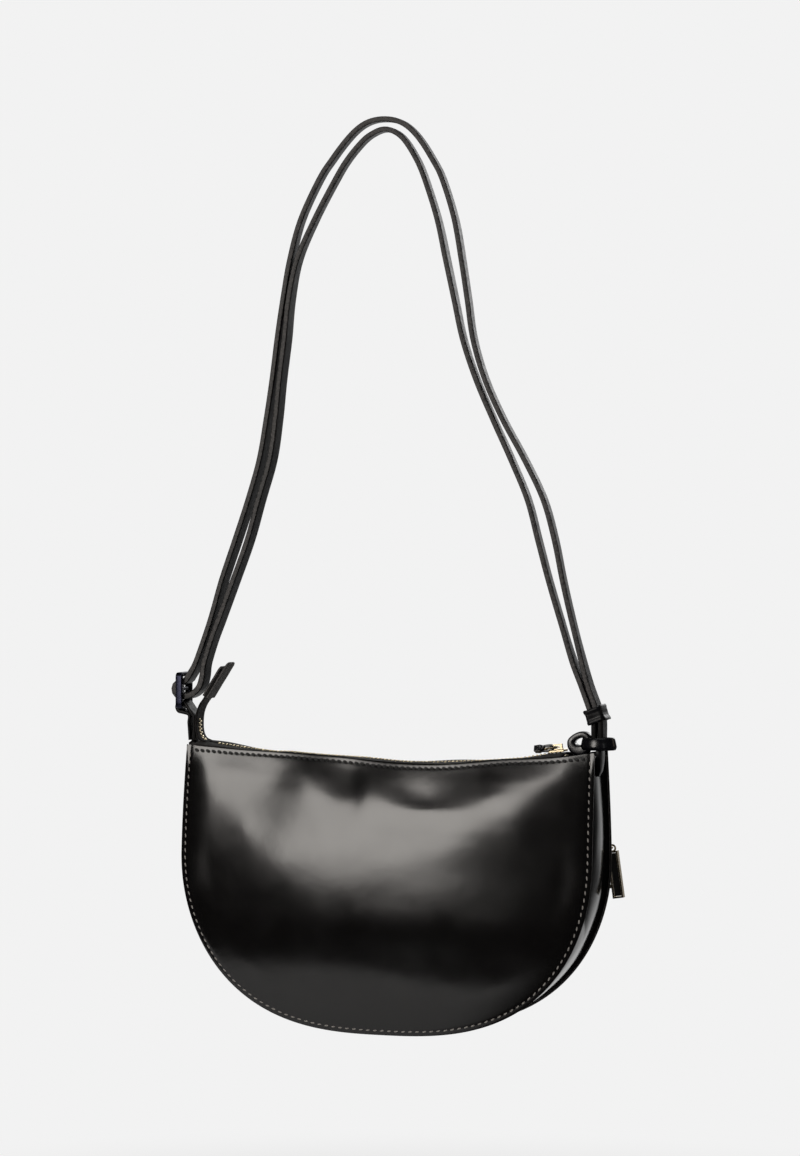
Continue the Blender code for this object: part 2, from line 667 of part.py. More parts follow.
def add_slider(prefix, parent, place, turn):
    """A slider's upper shell with its bridge, and its lower plate, both in the slider's own frame:
    X along the zip, Y across it, and Z out of it from the middle of the tape."""
    shell_bottom = TOOTH_HEIGHT / 2 + SLIDER_CLEARANCE - SLIDER_LIP_DROP
    plate_bottom = TOOTH_HEIGHT / 2 + SLIDER_CLEARANCE
    shell_top = plate_bottom + SLIDER_TOP_WALL
    shell_height = shell_top - shell_bottom
    shell_size = (SLIDER_LENGTH, SLIDER_WIDTH, shell_height)
    shell = box_mesh(prefix, shell_size, (0.0, 0.0, shell_bottom + shell_height / 2))
    slider = add_object(prefix, shell, ZIP_METAL, parent, place)
    slider.rotation_euler = turn
    add_bevel(slider, SLIDER_BEVEL)
    channel = box_mesh(
        prefix + "_channel",
        (SLIDER_LENGTH + OVERRUN, SLIDER_WIDTH - 2 * SLIDER_LIP, 2 * SLIDER_LIP_DROP),
        (0.0, 0.0, plate_bottom - SLIDER_LIP_DROP),
    )
    bridge = box_mesh(
        prefix + "_bridge",
        (SLIDER_BRIDGE_LENGTH, SLIDER_BRIDGE_WIDTH, SLIDER_BRIDGE_HEIGHT + SLIDER_TOP_WALL / 2),
        (0.0, 0.0, shell_top + SLIDER_BRIDGE_HEIGHT / 2 - SLIDER_TOP_WALL / 4),
    )
    eye = box_mesh(
        prefix + "_eye",
        (SLIDER_HOLE_LENGTH, SLIDER_BRIDGE_WIDTH + OVERRUN, SLIDER_HOLE_HEIGHT),
        (0.0, 0.0, shell_top + SLIDER_HOLE_HEIGHT / 2 + SLIDER_BEVEL / 2),
    )
    for mesh, operation in ((channel, "DIFFERENCE"), (bridge, "UNION"), (eye, "DIFFERENCE")):
        cutter = add_cutter(mesh.name, mesh, slider)
        add_boolean(slider, cutter, operation)
    base_top = -TOOTH_HEIGHT / 2 - SLIDER_CLEARANCE
    base_size = (SLIDER_LENGTH, SLIDER_WIDTH, SLIDER_BASE_WALL)
    base = box_mesh(prefix + "_base", base_size, (0.0, 0.0, base_top - SLIDER_BASE_WALL / 2))
    plate = add_object(prefix + "_base", base, ZIP_METAL, parent, place)
    plate.rotation_euler = turn
    add_bevel(plate, SLIDER_BEVEL / 2)


def link_height():
    """How far a link's wire stands over the middle of the tape, inside the bridge's eye."""
    shell_top = TOOTH_HEIGHT / 2 + SLIDER_CLEARANCE + SLIDER_TOP_WALL
    return shell_top + SLIDER_BEVEL / 2 + SLIDER_HOLE_HEIGHT / 2


def link_points(length, width, direction):
    """A flat wire link whose near bar lies on the origin, with its corners cut once."""
    half = width / 2
    cut = width / 6
    return [
        Vector((direction * x, y, 0.0))
        for x, y in (
            (0.0, -half + cut), (0.0, half - cut), (cut, half), (length - cut, half),
            (length, half - cut), (length, -half + cut), (length - cut, -half), (cut, -half),
        )
    ]


def add_main_zip():
    add_main_tape("main_zip_tape_back", -1)
    add_main_tape("main_zip_tape_front", 1)
    add_main_teeth("main_zip_teeth_back", -1, 0.0)
    add_main_teeth("main_zip_teeth_front", 1, TOOTH_PITCH / 2)
    radius = CORNER_HALF ** 2 / (2 * HEM_SAG)
    axis = bpy.data.objects.new("main_slider_axis", None)
    axis.parent = hang_frame
    axis.location = (0.0, 0.0, radius - HEM_SAG)
    axis.rotation_euler = (0.0, -math.asin(MAIN_SLIDER_X / radius), 0.0)
    BAG.objects.link(axis)
    add_slider("main_zip_slider", axis, (0.0, 0.0, TAPE_CROWN_RISE - radius), (0.0, 0.0, 0.0))
    pull_axis = bpy.data.objects.new("main_pull_axis", None)
    pull_axis.parent = axis
    pull_axis.location = (0.0, 0.0, TAPE_CROWN_RISE - radius + link_height())
    BAG.objects.link(pull_axis)
    link = link_points(LINK_LENGTH, LINK_WIDTH, -1)
    wire_object("main_pull_link", link, LINK_WIRE_RADIUS, PULL_METAL, pull_axis)
    eye = Vector((-LINK_LENGTH, 0.0, 0.0))
    arc = [
        eye + PULL_EYE_RADIUS * Vector((math.cos(turn), 0.0, math.sin(turn)))
        for turn in (math.pi / 2 * share for share in (1.0, 0.5, 0.0, -0.5, -1.0))
    ]
    far = Vector((-PULL_LENGTH, 0.0, 0.0))
    closing = Vector((0.0, 0.0, PULL_EYE_RADIUS - PULL_WALL / 2 - GAP / 2))
    middle = far / 3
    upper = [arc[0] + far - closing, arc[0] + middle - closing]
    lower = [arc[-1] + middle + closing, arc[-1] + far + closing]
    route = upper + arc + lower
    leather = ribbon_mesh("main_pull_leather", route, Vector((0.0, PULL_WIDTH, 0.0)))
    add_solidify(add_object("main_pull_leather", leather, LEATHER, pull_axis), PULL_WALL, 0.0)


# Front pocket: a full-width zip in the front panel
def add_front_tape(name, side):
    def place(u, v):
        x = FRONT_ZIP_HALF * (2 * u - 1)
        outer_edge = FRONT_SLOT_HEIGHT / 2 + FRONT_TAPE_OVERLAP
        height = TAPE_INNER_EDGE + (outer_edge - TAPE_INNER_EDGE) * v
        depth = FRONT_ZIP_DEPTH - side * height
        return x, panel_y(x, depth) - FRONT_TAPE_SETBACK, -depth

    tape = add_object(name, grid_mesh(name, TAPE_STATIONS, 2, place), TAPE_CLOTH)
    add_solidify(tape, TAPE_WALL, 0.0)


def add_front_teeth(name, side, shift):
    teeth = int((FRONT_TEETH_RIGHT - FRONT_TEETH_LEFT - shift) / TOOTH_PITCH)

    def place(u, v, w):
        x = FRONT_TEETH_LEFT + shift + tooth_place(u, TOOTH_PITCH, TOOTH_WIDTH)
        out = TOOTH_HEIGHT * (w - 0.5) - FRONT_TAPE_SETBACK
        rise = side * (TOOTH_CORD_OUT - v * TOOTH_CORD_WIDTH) - FRONT_ZIP_DEPTH
        return x, panel_y(x, FRONT_ZIP_DEPTH) + out, rise

    reach = TOOTH_LENGTH / TOOTH_CORD_WIDTH
    add_object(name, toothed_mesh(name, teeth, place, (0.0, 1.0, 0.0), reach), ZIP_METAL)


def add_pocket_bag():
    def place(u, v):
        turn = math.tau * u
        out = math.copysign(abs(math.sin(turn)) ** 0.5, math.sin(turn))
        along = math.copysign(abs(math.cos(turn)) ** 0.5, math.cos(turn))
        top = FRONT_ZIP_DEPTH + POCKET_FRONT_DROP if out > 0 else FRONT_ZIP_DEPTH - POCKET_BACK_RISE
        if abs(out) < 0.5:
            top = FRONT_ZIP_DEPTH
        depth = top + (FRONT_ZIP_DEPTH + POCKET_DEPTH - top) * v
        x = along * POCKET_HALF * (1 - v ** 3 / 5)
        thickness = POCKET_THICKNESS * math.sqrt(max(0.0, 1 - v ** 4))
        middle = panel_y(x, depth) - POCKET_CLEARANCE - POCKET_THICKNESS / 2
        return x, middle + out * thickness / 2, -depth

    bag = grid_mesh("front_pocket_bag", POCKET_SIDES, POCKET_ROWS, place, merge=True)
    add_solidify(add_object("front_pocket_bag", bag, LINING_CLOTH), POCKET_WALL, 0.0)


def add_front_zip():
    add_front_tape("front_zip_tape_upper", 1)
    add_front_tape("front_zip_tape_lower", -1)
    add_front_teeth("front_zip_teeth_upper", 1, 0.0)
    add_front_teeth("front_zip_teeth_lower", -1, TOOTH_PITCH / 2)
    add_pocket_bag()
    radius = half_width(FRONT_ZIP_DEPTH) ** 2 / (2 * CROWN)
    axis = bpy.data.objects.new("front_slider_axis", None)
    axis.parent = hang_frame
    axis.location = (0.0, panel_y(0.0, FRONT_ZIP_DEPTH) - radius, -FRONT_ZIP_DEPTH)
    axis.rotation_euler = (0.0, 0.0, -math.asin(FRONT_SLIDER_X / radius))
    BAG.objects.link(axis)
    slider_place = (0.0, radius - FRONT_TAPE_SETBACK, 0.0)
    add_slider("front_zip_slider", axis, slider_place, (-math.pi / 2, 0.0, 0.0))
    link_axis = bpy.data.objects.new("front_link_axis", None)
    link_axis.parent = axis
    link_axis.location = (0.0, radius - FRONT_TAPE_SETBACK + link_height(), 0.0)
    link_axis.rotation_euler = (-math.pi / 2, 0.0, math.radians(FRONT_LINK_OUT_DEGREES))
    BAG.objects.link(link_axis)
    link = link_points(FRONT_LINK_LENGTH, FRONT_LINK_WIDTH, 1)
    wire_object("front_pull_link", link, LINK_WIRE_RADIUS, PULL_METAL, link_axis)
    ring_centre = Vector((FRONT_LINK_LENGTH + FRONT_RING_OFFSET, 0.0, 0.0))
    ring = ellipse(
        ring_centre, Vector((FRONT_RING_RADIUS, 0.0, 0.0)), Vector((0.0, 0.0, FRONT_RING_RADIUS)), KNOT_STEPS
    )
    wire_object("front_pull_ring", ring, FRONT_RING_WIRE_RADIUS, PULL_METAL, link_axis)
    add_bar_pull(link_axis, ring_centre + Vector((FRONT_RING_RADIUS, 0.0, 0.0)))


def hoop_mesh(name, centre, radius, wire):
    """A round hoop of round wire, standing in the XZ plane."""
    work = bmesh.new()
    bmesh.ops.create_circle(work, segments=8, radius=wire)
    bmesh.ops.translate(work, vec=(radius, 0.0, 0.0), verts=work.verts)
    bmesh.ops.spin(
        work, geom=work.verts[:] + work.edges[:], axis=(0.0, 1.0, 0.0), cent=(0.0, 0.0, 0.0),
        angle=math.tau, steps=20, use_merge=True,
    )
    bmesh.ops.translate(work, vec=centre, verts=work.verts)
    return mesh_from(name, work)


def add_bar_pull(link_axis, ring_far):
    """The bar hangs from the ring's far side in an upright frame of its own."""
    bpy.context.view_layer.update()
    upright = bpy.data.objects.new("bar_axis", None)
    upright.parent = hang_frame
    upright.location = hang_frame.matrix_world.inverted() @ link_axis.matrix_world @ ring_far
    upright.rotation_euler = (0.0, -math.radians(BAR_LEAN_DEGREES), 0.0)
    BAG.objects.link(upright)
    lug_drop = BAR_LUG_RADIUS - BAR_LUG_WIRE_RADIUS - FRONT_RING_WIRE_RADIUS - GAP
    bar_top = -lug_drop - BAR_LUG_RISE
    middle = (0.0, 0.0, bar_top - BAR_LENGTH / 2)
    body = box_mesh("front_pull_bar", (BAR_WIDTH, BAR_THICKNESS, BAR_LENGTH), middle)
    frame = add_object("front_pull_bar", body, PULL_METAL, upright)
    window_size = (BAR_WIDTH - 2 * BAR_RIM, BAR_THICKNESS + OVERRUN, BAR_LENGTH - 2 * BAR_RIM)
    add_boolean(frame, add_cutter("bar_window", box_mesh("bar_window", window_size, middle), upright))
    lug = hoop_mesh("bar_lug", (0.0, 0.0, -lug_drop), BAR_LUG_RADIUS, BAR_LUG_WIRE_RADIUS)
    add_boolean(frame, add_cutter("bar_lug", lug, upright), "UNION")
    work = bmesh.new()
    bmesh.ops.create_cone(
        work, cap_ends=True, segments=16, radius1=BAR_PEG_RADIUS, radius2=BAR_PEG_RADIUS,
        depth=BAR_PEG_LENGTH, matrix=Matrix.Rotation(math.pi / 2, 4, "Y"),
    )
    reach = BAR_WIDTH / 2 - BAR_PEG_SETBACK + BAR_PEG_LENGTH / 2
    drop = bar_top - BAR_LENGTH * BAR_PEG_PLACE_SHARE
    bmesh.ops.translate(work, vec=(-reach, 0.0, drop), verts=work.verts)
    add_boolean(frame, add_cutter("bar_peg", mesh_from("bar_peg", work), upright), "UNION")
    inlay = box_mesh(
        "front_pull_inlay",
        (BAR_WIDTH - 2 * BAR_RIM - 2 * GAP, BAR_INLAY_WALL, BAR_LENGTH - 2 * BAR_RIM - 2 * GAP), middle,
    )
    add_object("front_pull_inlay", inlay, INLAY, upright)


# Strap: one band out from the knot, through the buckle and back
def strand_spacing():
    return STRAP_WALL + TONGUE_WALL + 2 * TONGUE_CLEARANCE


def flat(points):
    return [Vector((x, 0.0, rise)) for x, rise in points]


def strand_end(side):
    """The strand's end beside the right tongue, and its lean above. Side 1 is the outer strand."""
    x = RIGHT_TONGUE_X + side * strand_spacing() / 2
    middle_rise = (STRAND_STRAIGHT_RISE + STRAND_LEAN_TOP) / 2
    return flat(((x, PIVOT_RISE - STRAND_END_BELOW_PIVOT),)), flat((
        (x, STRAND_STRAIGHT_RISE),
        (x - STRAND_LEAN * (middle_rise - STRAND_STRAIGHT_RISE), middle_rise),
        (x - STRAND_LEAN * (STRAND_LEAN_TOP - STRAND_STRAIGHT_RISE), STRAND_LEAN_TOP),
    ))


def add_strap():
    outer = flat((x * STRAP_REACH, z * STRAP_HEIGHT) for x, z in OUTER_STRAND_SHARES)
    inner = flat((x * STRAP_REACH, z * STRAP_HEIGHT) for x, z in INNER_STRAND_SHARES)
    turn = flat(
        (BUCKLE_X + x * BUCKLE_HEIGHT, BUCKLE_BOTTOM + z * BUCKLE_HEIGHT) for x, z in BUCKLE_TURN_SHARES
    )
    outer_end, outer_lean = strand_end(1)
    inner_end, inner_lean = strand_end(-1)
    middle = smooth_route(outer_lean + outer + turn + inner + inner_lean[::-1], STRAP_STEPS)
    route = outer_end + middle + inner_end
    strap = ribbon_mesh("strap", route, Vector((0.0, STRAP_WIDTH, 0.0)))
    add_solidify(add_object("strap", strap, STRAP_LEATHER), STRAP_WALL, 0.0)


def rounded_rectangle(half_x, half_y, corner):
    points = []
    for quarter in range(4):
        sign_x = 1 if quarter in (0, 3) else -1
        sign_y = 1 if quarter in (0, 1) else -1
        for step in range(4):
            turn = math.pi / 2 * (quarter + step / 3)
            x = sign_x * (half_x - corner) + corner * math.cos(turn)
            points.append(Vector((x, sign_y * (half_y - corner) + corner * math.sin(turn), 0.0)))
    return points


def add_keeper():
    lean = math.atan(STRAND_LEAN)
    axis = bpy.data.objects.new("keeper_axis", None)
    axis.parent = hang_frame
    foot_x = RIGHT_TONGUE_X + STRAND_LEAN * (STRAND_STRAIGHT_RISE - KEEPER_RISE)
    axis.location = (foot_x, 0.0, KEEPER_RISE)
    axis.rotation_euler = (0.0, -lean, 0.0)
    BAG.objects.link(axis)
    middle = KEEPER_CLEARANCE + KEEPER_WALL / 2
    half_x = strand_spacing() / 2 + STRAP_WALL / 2 + middle
    ring = rounded_rectangle(half_x, STRAP_WIDTH / 2 + middle, KEEPER_CORNER + KEEPER_WALL / 2)
    band = ribbon_mesh("strap_keeper", ring, Vector((0.0, 0.0, KEEPER_LENGTH)), closed=True)
    keeper = add_object("strap_keeper", band, STRAP_LEATHER, axis, (0.0, 0.0, KEEPER_LENGTH / 2))
    add_solidify(keeper, KEEPER_WALL, 0.0)


def add_knot():
    wrap = ellipse(
        Vector((WRAP_CENTRE_X, 0.0, WRAP_BOTTOM + WRAP_HEIGHT / 2)),
        Vector((WRAP_HALF_LENGTH, 0.0, 0.0)), Vector((0.0, WRAP_HALF_WIDTH, 0.0)), KNOT_STEPS,
    )
    band = ribbon_mesh("knot_wrap", wrap, Vector((0.0, 0.0, WRAP_HEIGHT)), closed=True)
    add_solidify(add_object("knot_wrap", band, STRAP_LEATHER), BAND_WALL, 0.0)
    loop = ellipse(
        Vector((LOOP_CENTRE_X, 0.0, LOOP_CENTRE_RISE)),
        Vector((LOOP_HALF_LENGTH, 0.0, 0.0)), Vector((0.0, 0.0, LOOP_HALF_HEIGHT)), KNOT_STEPS,
    )
    band = ribbon_mesh("knot_loop", loop, Vector((0.0, LOOP_WIDTH, 0.0)), closed=True)
    add_solidify(add_object("knot_loop", band, STRAP_LEATHER), LOOP_WALL, 0.0)


def add_tongue(name, side, tongue_x):
    """The thick end sewn on the gusset, with the thin tongue that the strap end turns on."""
    thin = TONGUE_WALL / 2
    root_outer = abs(tongue_x) + strand_spacing() / 2
    tip = PIVOT_RISE + TONGUE_RISE
    step = TONGUE_STEP_RISE
    stations = (
        (-TONGUE_ROOT_DROP, TONGUE_ROOT_INNER, root_outer - TONGUE_CORNER, TAB_WIDTH / 2 - TONGUE_CORNER),
        (TONGUE_CORNER - TONGUE_ROOT_DROP, TONGUE_ROOT_INNER, root_outer, TAB_WIDTH / 2),
        (step - TONGUE_WALL, TONGUE_ROOT_INNER, root_outer, TAB_WIDTH / 2),
        (step, abs(tongue_x) - thin, abs(tongue_x) + thin, TAB_WIDTH / 2 - thin),
        (tip - TONGUE_CORNER, abs(tongue_x) - thin, abs(tongue_x) + thin, TONGUE_TIP_HALF),
        (tip, abs(tongue_x) - thin, abs(tongue_x) + thin, TONGUE_TIP_HALF - TONGUE_CORNER),
    )
    sections = [
        [
            Vector((side * low, -half, rise)), Vector((side * high, -half, rise)),
            Vector((side * high, half, rise)), Vector((side * low, half, rise)),
        ]
        for rise, low, high, half in stations
    ]
    add_object(name, loft_mesh(name, sections), STRAP_LEATHER)


def add_buckle():
    middle = BUCKLE_BOTTOM + BUCKLE_HEIGHT / 2
    body = box_mesh("buckle_frame", (BUCKLE_THICKNESS, BUCKLE_WIDTH, BUCKLE_HEIGHT))
    buckle = add_object("buckle_frame", body, BUCKLE_METAL, hang_frame, (BUCKLE_X, 0.0, middle))
    upper_height = BUCKLE_HEIGHT - 2 * BUCKLE_BAR - BUCKLE_CENTRE_BAR - BUCKLE_LOWER_SLOT
    low = -BUCKLE_HEIGHT / 2 + BUCKLE_BAR
    for name, bottom, height in (
        ("buckle_lower_slot", low, BUCKLE_LOWER_SLOT),
        ("buckle_upper_slot", low + BUCKLE_LOWER_SLOT + BUCKLE_CENTRE_BAR, upper_height),
    ):
        size = (BUCKLE_THICKNESS + OVERRUN, BUCKLE_SLOT_WIDTH, height)
        slot = box_mesh(name, size, (0.0, 0.0, bottom + height / 2))
        add_boolean(buckle, add_cutter(name, slot, buckle))
    add_bevel(buckle, BUCKLE_BEVEL, 2)


def add_left_tab():
    spacing = TAB_WALL + TONGUE_WALL + 2 * TONGUE_CLEARANCE
    outer_x = LEFT_TONGUE_X - spacing / 2
    inner_x = LEFT_TONGUE_X + spacing / 2
    end = PIVOT_RISE - TAB_END_BELOW_PIVOT
    rise = PIVOT_RISE + TONGUE_RISE + TAB_WALL
    bar = Vector((BUCKLE_X, 0.0, BUCKLE_BOTTOM + BUCKLE_BAR / 2))
    loop = [bar + Vector((x, 0.0, z)) * BUCKLE_HEIGHT for x, z in TAB_LOOP_SHARES]
    turn = smooth_route(flat(((outer_x, PIVOT_RISE),)) + loop + flat(((inner_x, rise),)), 3)
    route = flat(((outer_x, end),)) + turn + flat(((inner_x, end),))
    tab = ribbon_mesh("left_tab", route, Vector((0.0, TAB_WIDTH, 0.0)))
    add_solidify(add_object("left_tab", tab, STRAP_LEATHER), TAB_WALL, 0.0)


# Zip tail: the zip's open end, free of the bag, between the two halves of a tab
def tail_route():
    rise = flat((x * TAIL_TAPE_WIDTH, z * TAIL_TAPE_WIDTH) for x, z in TAIL_RISE_SHARES)
    lean = math.radians(TAIL_LEAN_DEGREES)
    end = rise[-1] + Vector((math.sin(lean), 0.0, math.cos(lean))) * TAIL_TAB_ENTRY
    return smooth_route(rise + [rise[-1].lerp(end, 0.5), end], 3), rise[-1]


def add_tail_tab(name, axis, start, side, length):
    lean = math.radians(TAIL_LEAN_DEGREES)
    stand_off = side * (TAIL_TAPE_WALL / 2 + TAIL_TAB_GAP + TAIL_TAB_WALL / 2)
    across = TAIL_TAB_WIDTH / 2
    corner = across / 3
    outline_points = [
        (-across, 0.0), (across, 0.0), (across, length - corner), (across - corner, length),
        (corner - across, length), (-across, length - corner),
    ]
    sections = [
        [Vector((stand_off + half, y, along)) for y, along in outline_points]
        for half in (-TAIL_TAB_WALL / 2, TAIL_TAB_WALL / 2)
    ]
    tab = add_object(name, loft_mesh(name, sections), STRAP_LEATHER, axis, start)
    tab.rotation_euler = (0.0, lean, 0.0)


def add_tail():
    axis = bpy.data.objects.new("tail_axis", None)
    axis.parent = hang_frame
    axis.location = (TAIL_HINGE_X, 0.0, TAIL_HINGE_RISE)
    BAG.objects.link(axis)
    route, fold = tail_route()
    tape = ribbon_mesh("zip_tail_tape", route, Vector((0.0, TAIL_TAPE_WIDTH, 0.0)))
    add_solidify(add_object("zip_tail_tape", tape, TAPE_CLOTH, axis), TAIL_TAPE_WALL, 0.0)
    lean = math.radians(TAIL_LEAN_DEGREES)
    along = Vector((math.sin(lean), 0.0, math.cos(lean)))
    start = fold + along * TAIL_TAPE_WALL
    add_tail_tab("zip_tail_tab_upper", axis, start, -1, TAIL_TAB_UPPER_LENGTH)
    add_tail_tab("zip_tail_tab_lower", axis, start, 1, TAIL_TAB_LOWER_LENGTH)
    add_tail_teeth(axis, route)


def point_along(route, distance):
    """The point of the route at that distance from its start, with the route's direction there."""
    for start, stop in zip(route, route[1:]):
        stretch = (stop - start).length
        if distance <= stretch:
            return start.lerp(stop, distance / stretch), (stop - start).normalized()
        distance -= stretch
    return route[-1], (route[-1] - route[-2]).normalized()


def add_tail_teeth(axis, route):
    teeth = int(TAIL_TEETH_LENGTH / TAIL_TOOTH_PITCH)

    def place(u, v, w):
        distance = TAIL_TEETH_START + tooth_place(u, TAIL_TOOTH_PITCH, TAIL_TOOTH_PITCH / 2)
        point, run = point_along(route, distance)
        out = Vector((run.z, 0.0, -run.x))
        height = TAIL_TAPE_WALL / 2 + GAP + w * TAIL_TEETH_WALL
        return point + out * height + Vector((0.0, (v - 0.5) * TAIL_TEETH_WIDTH, 0.0))

    reach = TAIL_TOOTH_HEIGHT / TAIL_TEETH_WALL
    mesh = toothed_mesh("zip_tail_teeth", teeth, place, (0.0, 0.0, 1.0), reach)
    add_object("zip_tail_teeth", mesh, ZIP_METAL, axis)


add_panels()
add_gusset()
add_lining()
add_main_zip()
add_front_zip()
add_strap()
add_keeper()
add_knot()
add_tongue("right_tab_tongue", 1, RIGHT_TONGUE_X)
add_tongue("left_tab_tongue", -1, LEFT_TONGUE_X)
add_buckle()
add_left_tab()
add_tail()
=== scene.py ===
# Half-moon crossbody bag in black box calf, hanging from its doubled strap.
# The pieces are worked out in the bag's own measure: x along the bag from its middle, y from its middle plane
# towards the front pocket, and rise above the line through the two top corners. Metres throughout.

from math import atan, copysign, cos, exp, pi, radians, sin, sqrt, tau

import bmesh
import bpy
from mathutils import Matrix, Vector, kdtree, noise


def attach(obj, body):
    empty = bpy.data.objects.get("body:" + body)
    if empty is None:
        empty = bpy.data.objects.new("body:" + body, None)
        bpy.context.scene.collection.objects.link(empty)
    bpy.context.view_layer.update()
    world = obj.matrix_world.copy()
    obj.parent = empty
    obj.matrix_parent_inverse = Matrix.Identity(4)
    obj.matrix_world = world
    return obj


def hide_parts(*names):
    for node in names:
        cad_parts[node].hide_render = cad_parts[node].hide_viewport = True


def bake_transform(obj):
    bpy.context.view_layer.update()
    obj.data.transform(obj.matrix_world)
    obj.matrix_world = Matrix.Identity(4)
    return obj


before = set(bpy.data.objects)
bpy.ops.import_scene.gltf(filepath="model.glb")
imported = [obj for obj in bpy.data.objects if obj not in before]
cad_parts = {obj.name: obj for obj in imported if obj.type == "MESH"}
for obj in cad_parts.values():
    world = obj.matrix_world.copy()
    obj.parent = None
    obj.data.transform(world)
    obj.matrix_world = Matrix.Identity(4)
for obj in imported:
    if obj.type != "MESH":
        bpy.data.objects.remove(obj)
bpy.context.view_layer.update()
print("frame loaded:", len(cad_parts), "nodes")

bagMiddle = Vector((0.005798, 0, -0.3732))  # where the bag's own measure starts, in the frame
intoScene = bpy.context.scene.collection.objects.link
creaseAngle = radians(50)  # edges that turn more than this stay sharp, and leather is bevelled there


def toLinear(hexColour):
    parts = [int(hexColour[i : i + 2], 16) / 255 for i in (1, 3, 5)]
    return (*[p / 12.92 if p <= 0.04045 else ((p + 0.055) / 1.055) ** 2.4 for p in parts], 1)


# A link's source is a socket, or a node that gives its first output.
def joinNode(tree, node, links):
    for key, source in links.items():
        tree.links.new(source.outputs[0] if hasattr(source, "outputs") else source, node.inputs[key])


def addNode(tree, kind, settings, links=None):
    node = tree.nodes.new("ShaderNode" + kind)
    for key, value in settings.items():
        if isinstance(key, str) and hasattr(node, key):
            setattr(node, key, value)
        else:
            node.inputs[key].default_value = value
    joinNode(tree, node, links or {})
    return node


def ownPlace(tree):
    return addNode(tree, "TexCoord", {}).outputs["Object"]


def noiseOf(tree, scale, detail):
    return addNode(tree, "TexNoise", {"Scale": scale, "Detail": detail}, {"Vector": ownPlace(tree)})


def waveOf(tree, place, way, scale, distortion=0.0):
    settings = {"bands_direction": way, "Scale": scale, "Distortion": distortion, "Detail Scale": 1.0}
    return addNode(tree, "TexWave", settings, {"Vector": place}).outputs["Fac"]


def rangeOf(tree, source, low, high, toLow=0.0, toHigh=1.0, easing="LINEAR"):
    settings = {"interpolation_type": easing, "From Min": low, "From Max": high, "To Min": toLow, "To Max": toHigh}
    return addNode(tree, "MapRange", settings, {"Value": source})


def bumpOf(tree, height, strength, distance, under=None):
    links = {"Height": height, "Normal": under} if under else {"Height": height}
    return addNode(tree, "Bump", {"Strength": strength, "Distance": distance}, links)


def mathOf(tree, first, second, operation="MULTIPLY"):
    return addNode(tree, "Math", {"operation": operation}, {0: first, 1: second})


def mixOf(tree, dark, light, share):
    settings = {"data_type": "RGBA", 6: toLinear(dark), 7: toLinear(light)}
    return addNode(tree, "Mix", settings, {0: share}).outputs[2]


def newMaterial(name, base, settings):
    material = bpy.data.materials.new(name)
    material.use_nodes = True
    shader = material.node_tree.nodes["Principled BSDF"]
    shader.inputs["Base Color"].default_value = toLinear(base)
    for key, value in settings.items():
        shader.inputs[key].default_value = value
    return material, material.node_tree, shader


# Box calf: aniline calf glazed under a roller, so a tight fine grain under a hard even shine.
def makeBoxCalf():
    look = dict(base="#070606", roughness=0.135, grainMm=1.0, rippleMm=9.0, wearScale=45.0)
    material, tree, shader = newMaterial("blackBoxCalf", look["base"], {"IOR": 1.5})
    grain, ripple = (noiseOf(tree, 1000 / look[size], 2.0) for size in ("grainMm", "rippleMm"))
    wear = noiseOf(tree, look["wearScale"], 4.0)
    rough = rangeOf(tree, wear, 0.3, 0.7, look["roughness"] - 0.02, look["roughness"] + 0.03)
    relief = bumpOf(tree, grain, 0.5, 1e-5, bumpOf(tree, ripple, 1, 2e-5))
    joinNode(tree, shader, {"Roughness": rough, "Normal": relief})
    return material


# Strap leather: the same calf left with a drier finish, pebbled a little by handling.
def makeStrapLeather(name, base, roughness, shine=0.5, relief=1.0):
    look = dict(grainMm=0.8, creaseMm=2.6)
    material, tree, shader = newMaterial(name, base, {"IOR": 1.5, "Specular IOR Level": shine})
    cells = {"feature": "F1", "Scale": 1000 / look["grainMm"]}
    cells = addNode(tree, "TexVoronoi", cells, {"Vector": ownPlace(tree)})
    crease = noiseOf(tree, 1000 / look["creaseMm"], 3.0)
    rough = rangeOf(tree, crease, 0.3, 0.7, roughness - 0.06, roughness + 0.08)
    pebble = bumpOf(tree, cells, 0.5, 5e-5 * relief, bumpOf(tree, crease, 0.8, 0.0001 * relief))
    joinNode(tree, shader, {"Roughness": rough, "Normal": pebble})
    return material


# Edge paint: thick acrylic brushed on the cut leather, matt and a little lumpy.
def makeEdgePaint():
    look = dict(dark="#0e0d0d", light="#4f4b49", lumpMm=1.3)
    material, tree, shader = newMaterial("leatherEdgePaint", look["dark"], {"IOR": 1.48})
    lump = noiseOf(tree, 1000 / look["lumpMm"], 3.0)
    colour = mixOf(tree, look["dark"], look["light"], rangeOf(tree, lump, 0.35, 0.75))
    rough = rangeOf(tree, lump, 0.3, 0.7, 0.46, 0.66)
    joinNode(tree, shader, {"Base Color": colour, "Roughness": rough, "Normal": bumpOf(tree, lump, 0.8, 0.00012)})
    return material


# Woven cloth and zip tape: warp and weft as two crossed waves on the piece's own UV map, which is in metres.
def makeWoven(name, dark, light, threadMm, roughness):
    settings = {"Roughness": roughness, "Sheen Weight": 0.05, "Specular IOR Level": 0.3}
    material, tree, shader = newMaterial(name, dark, settings)
    place = addNode(tree, "UVMap", {"uv_map": "weave"})
    turns = pi * 100 / threadMm  # a wave texture has a period of a fifth of pi at scale 1
    threads = mathOf(tree, *(waveOf(tree, place, way, turns, 0.4) for way in "XY"))
    colour = mixOf(tree, dark, light, threads)
    joinNode(tree, shader, {"Base Color": colour, "Normal": bumpOf(tree, threads, 0.7, 0.00015)})
    return material


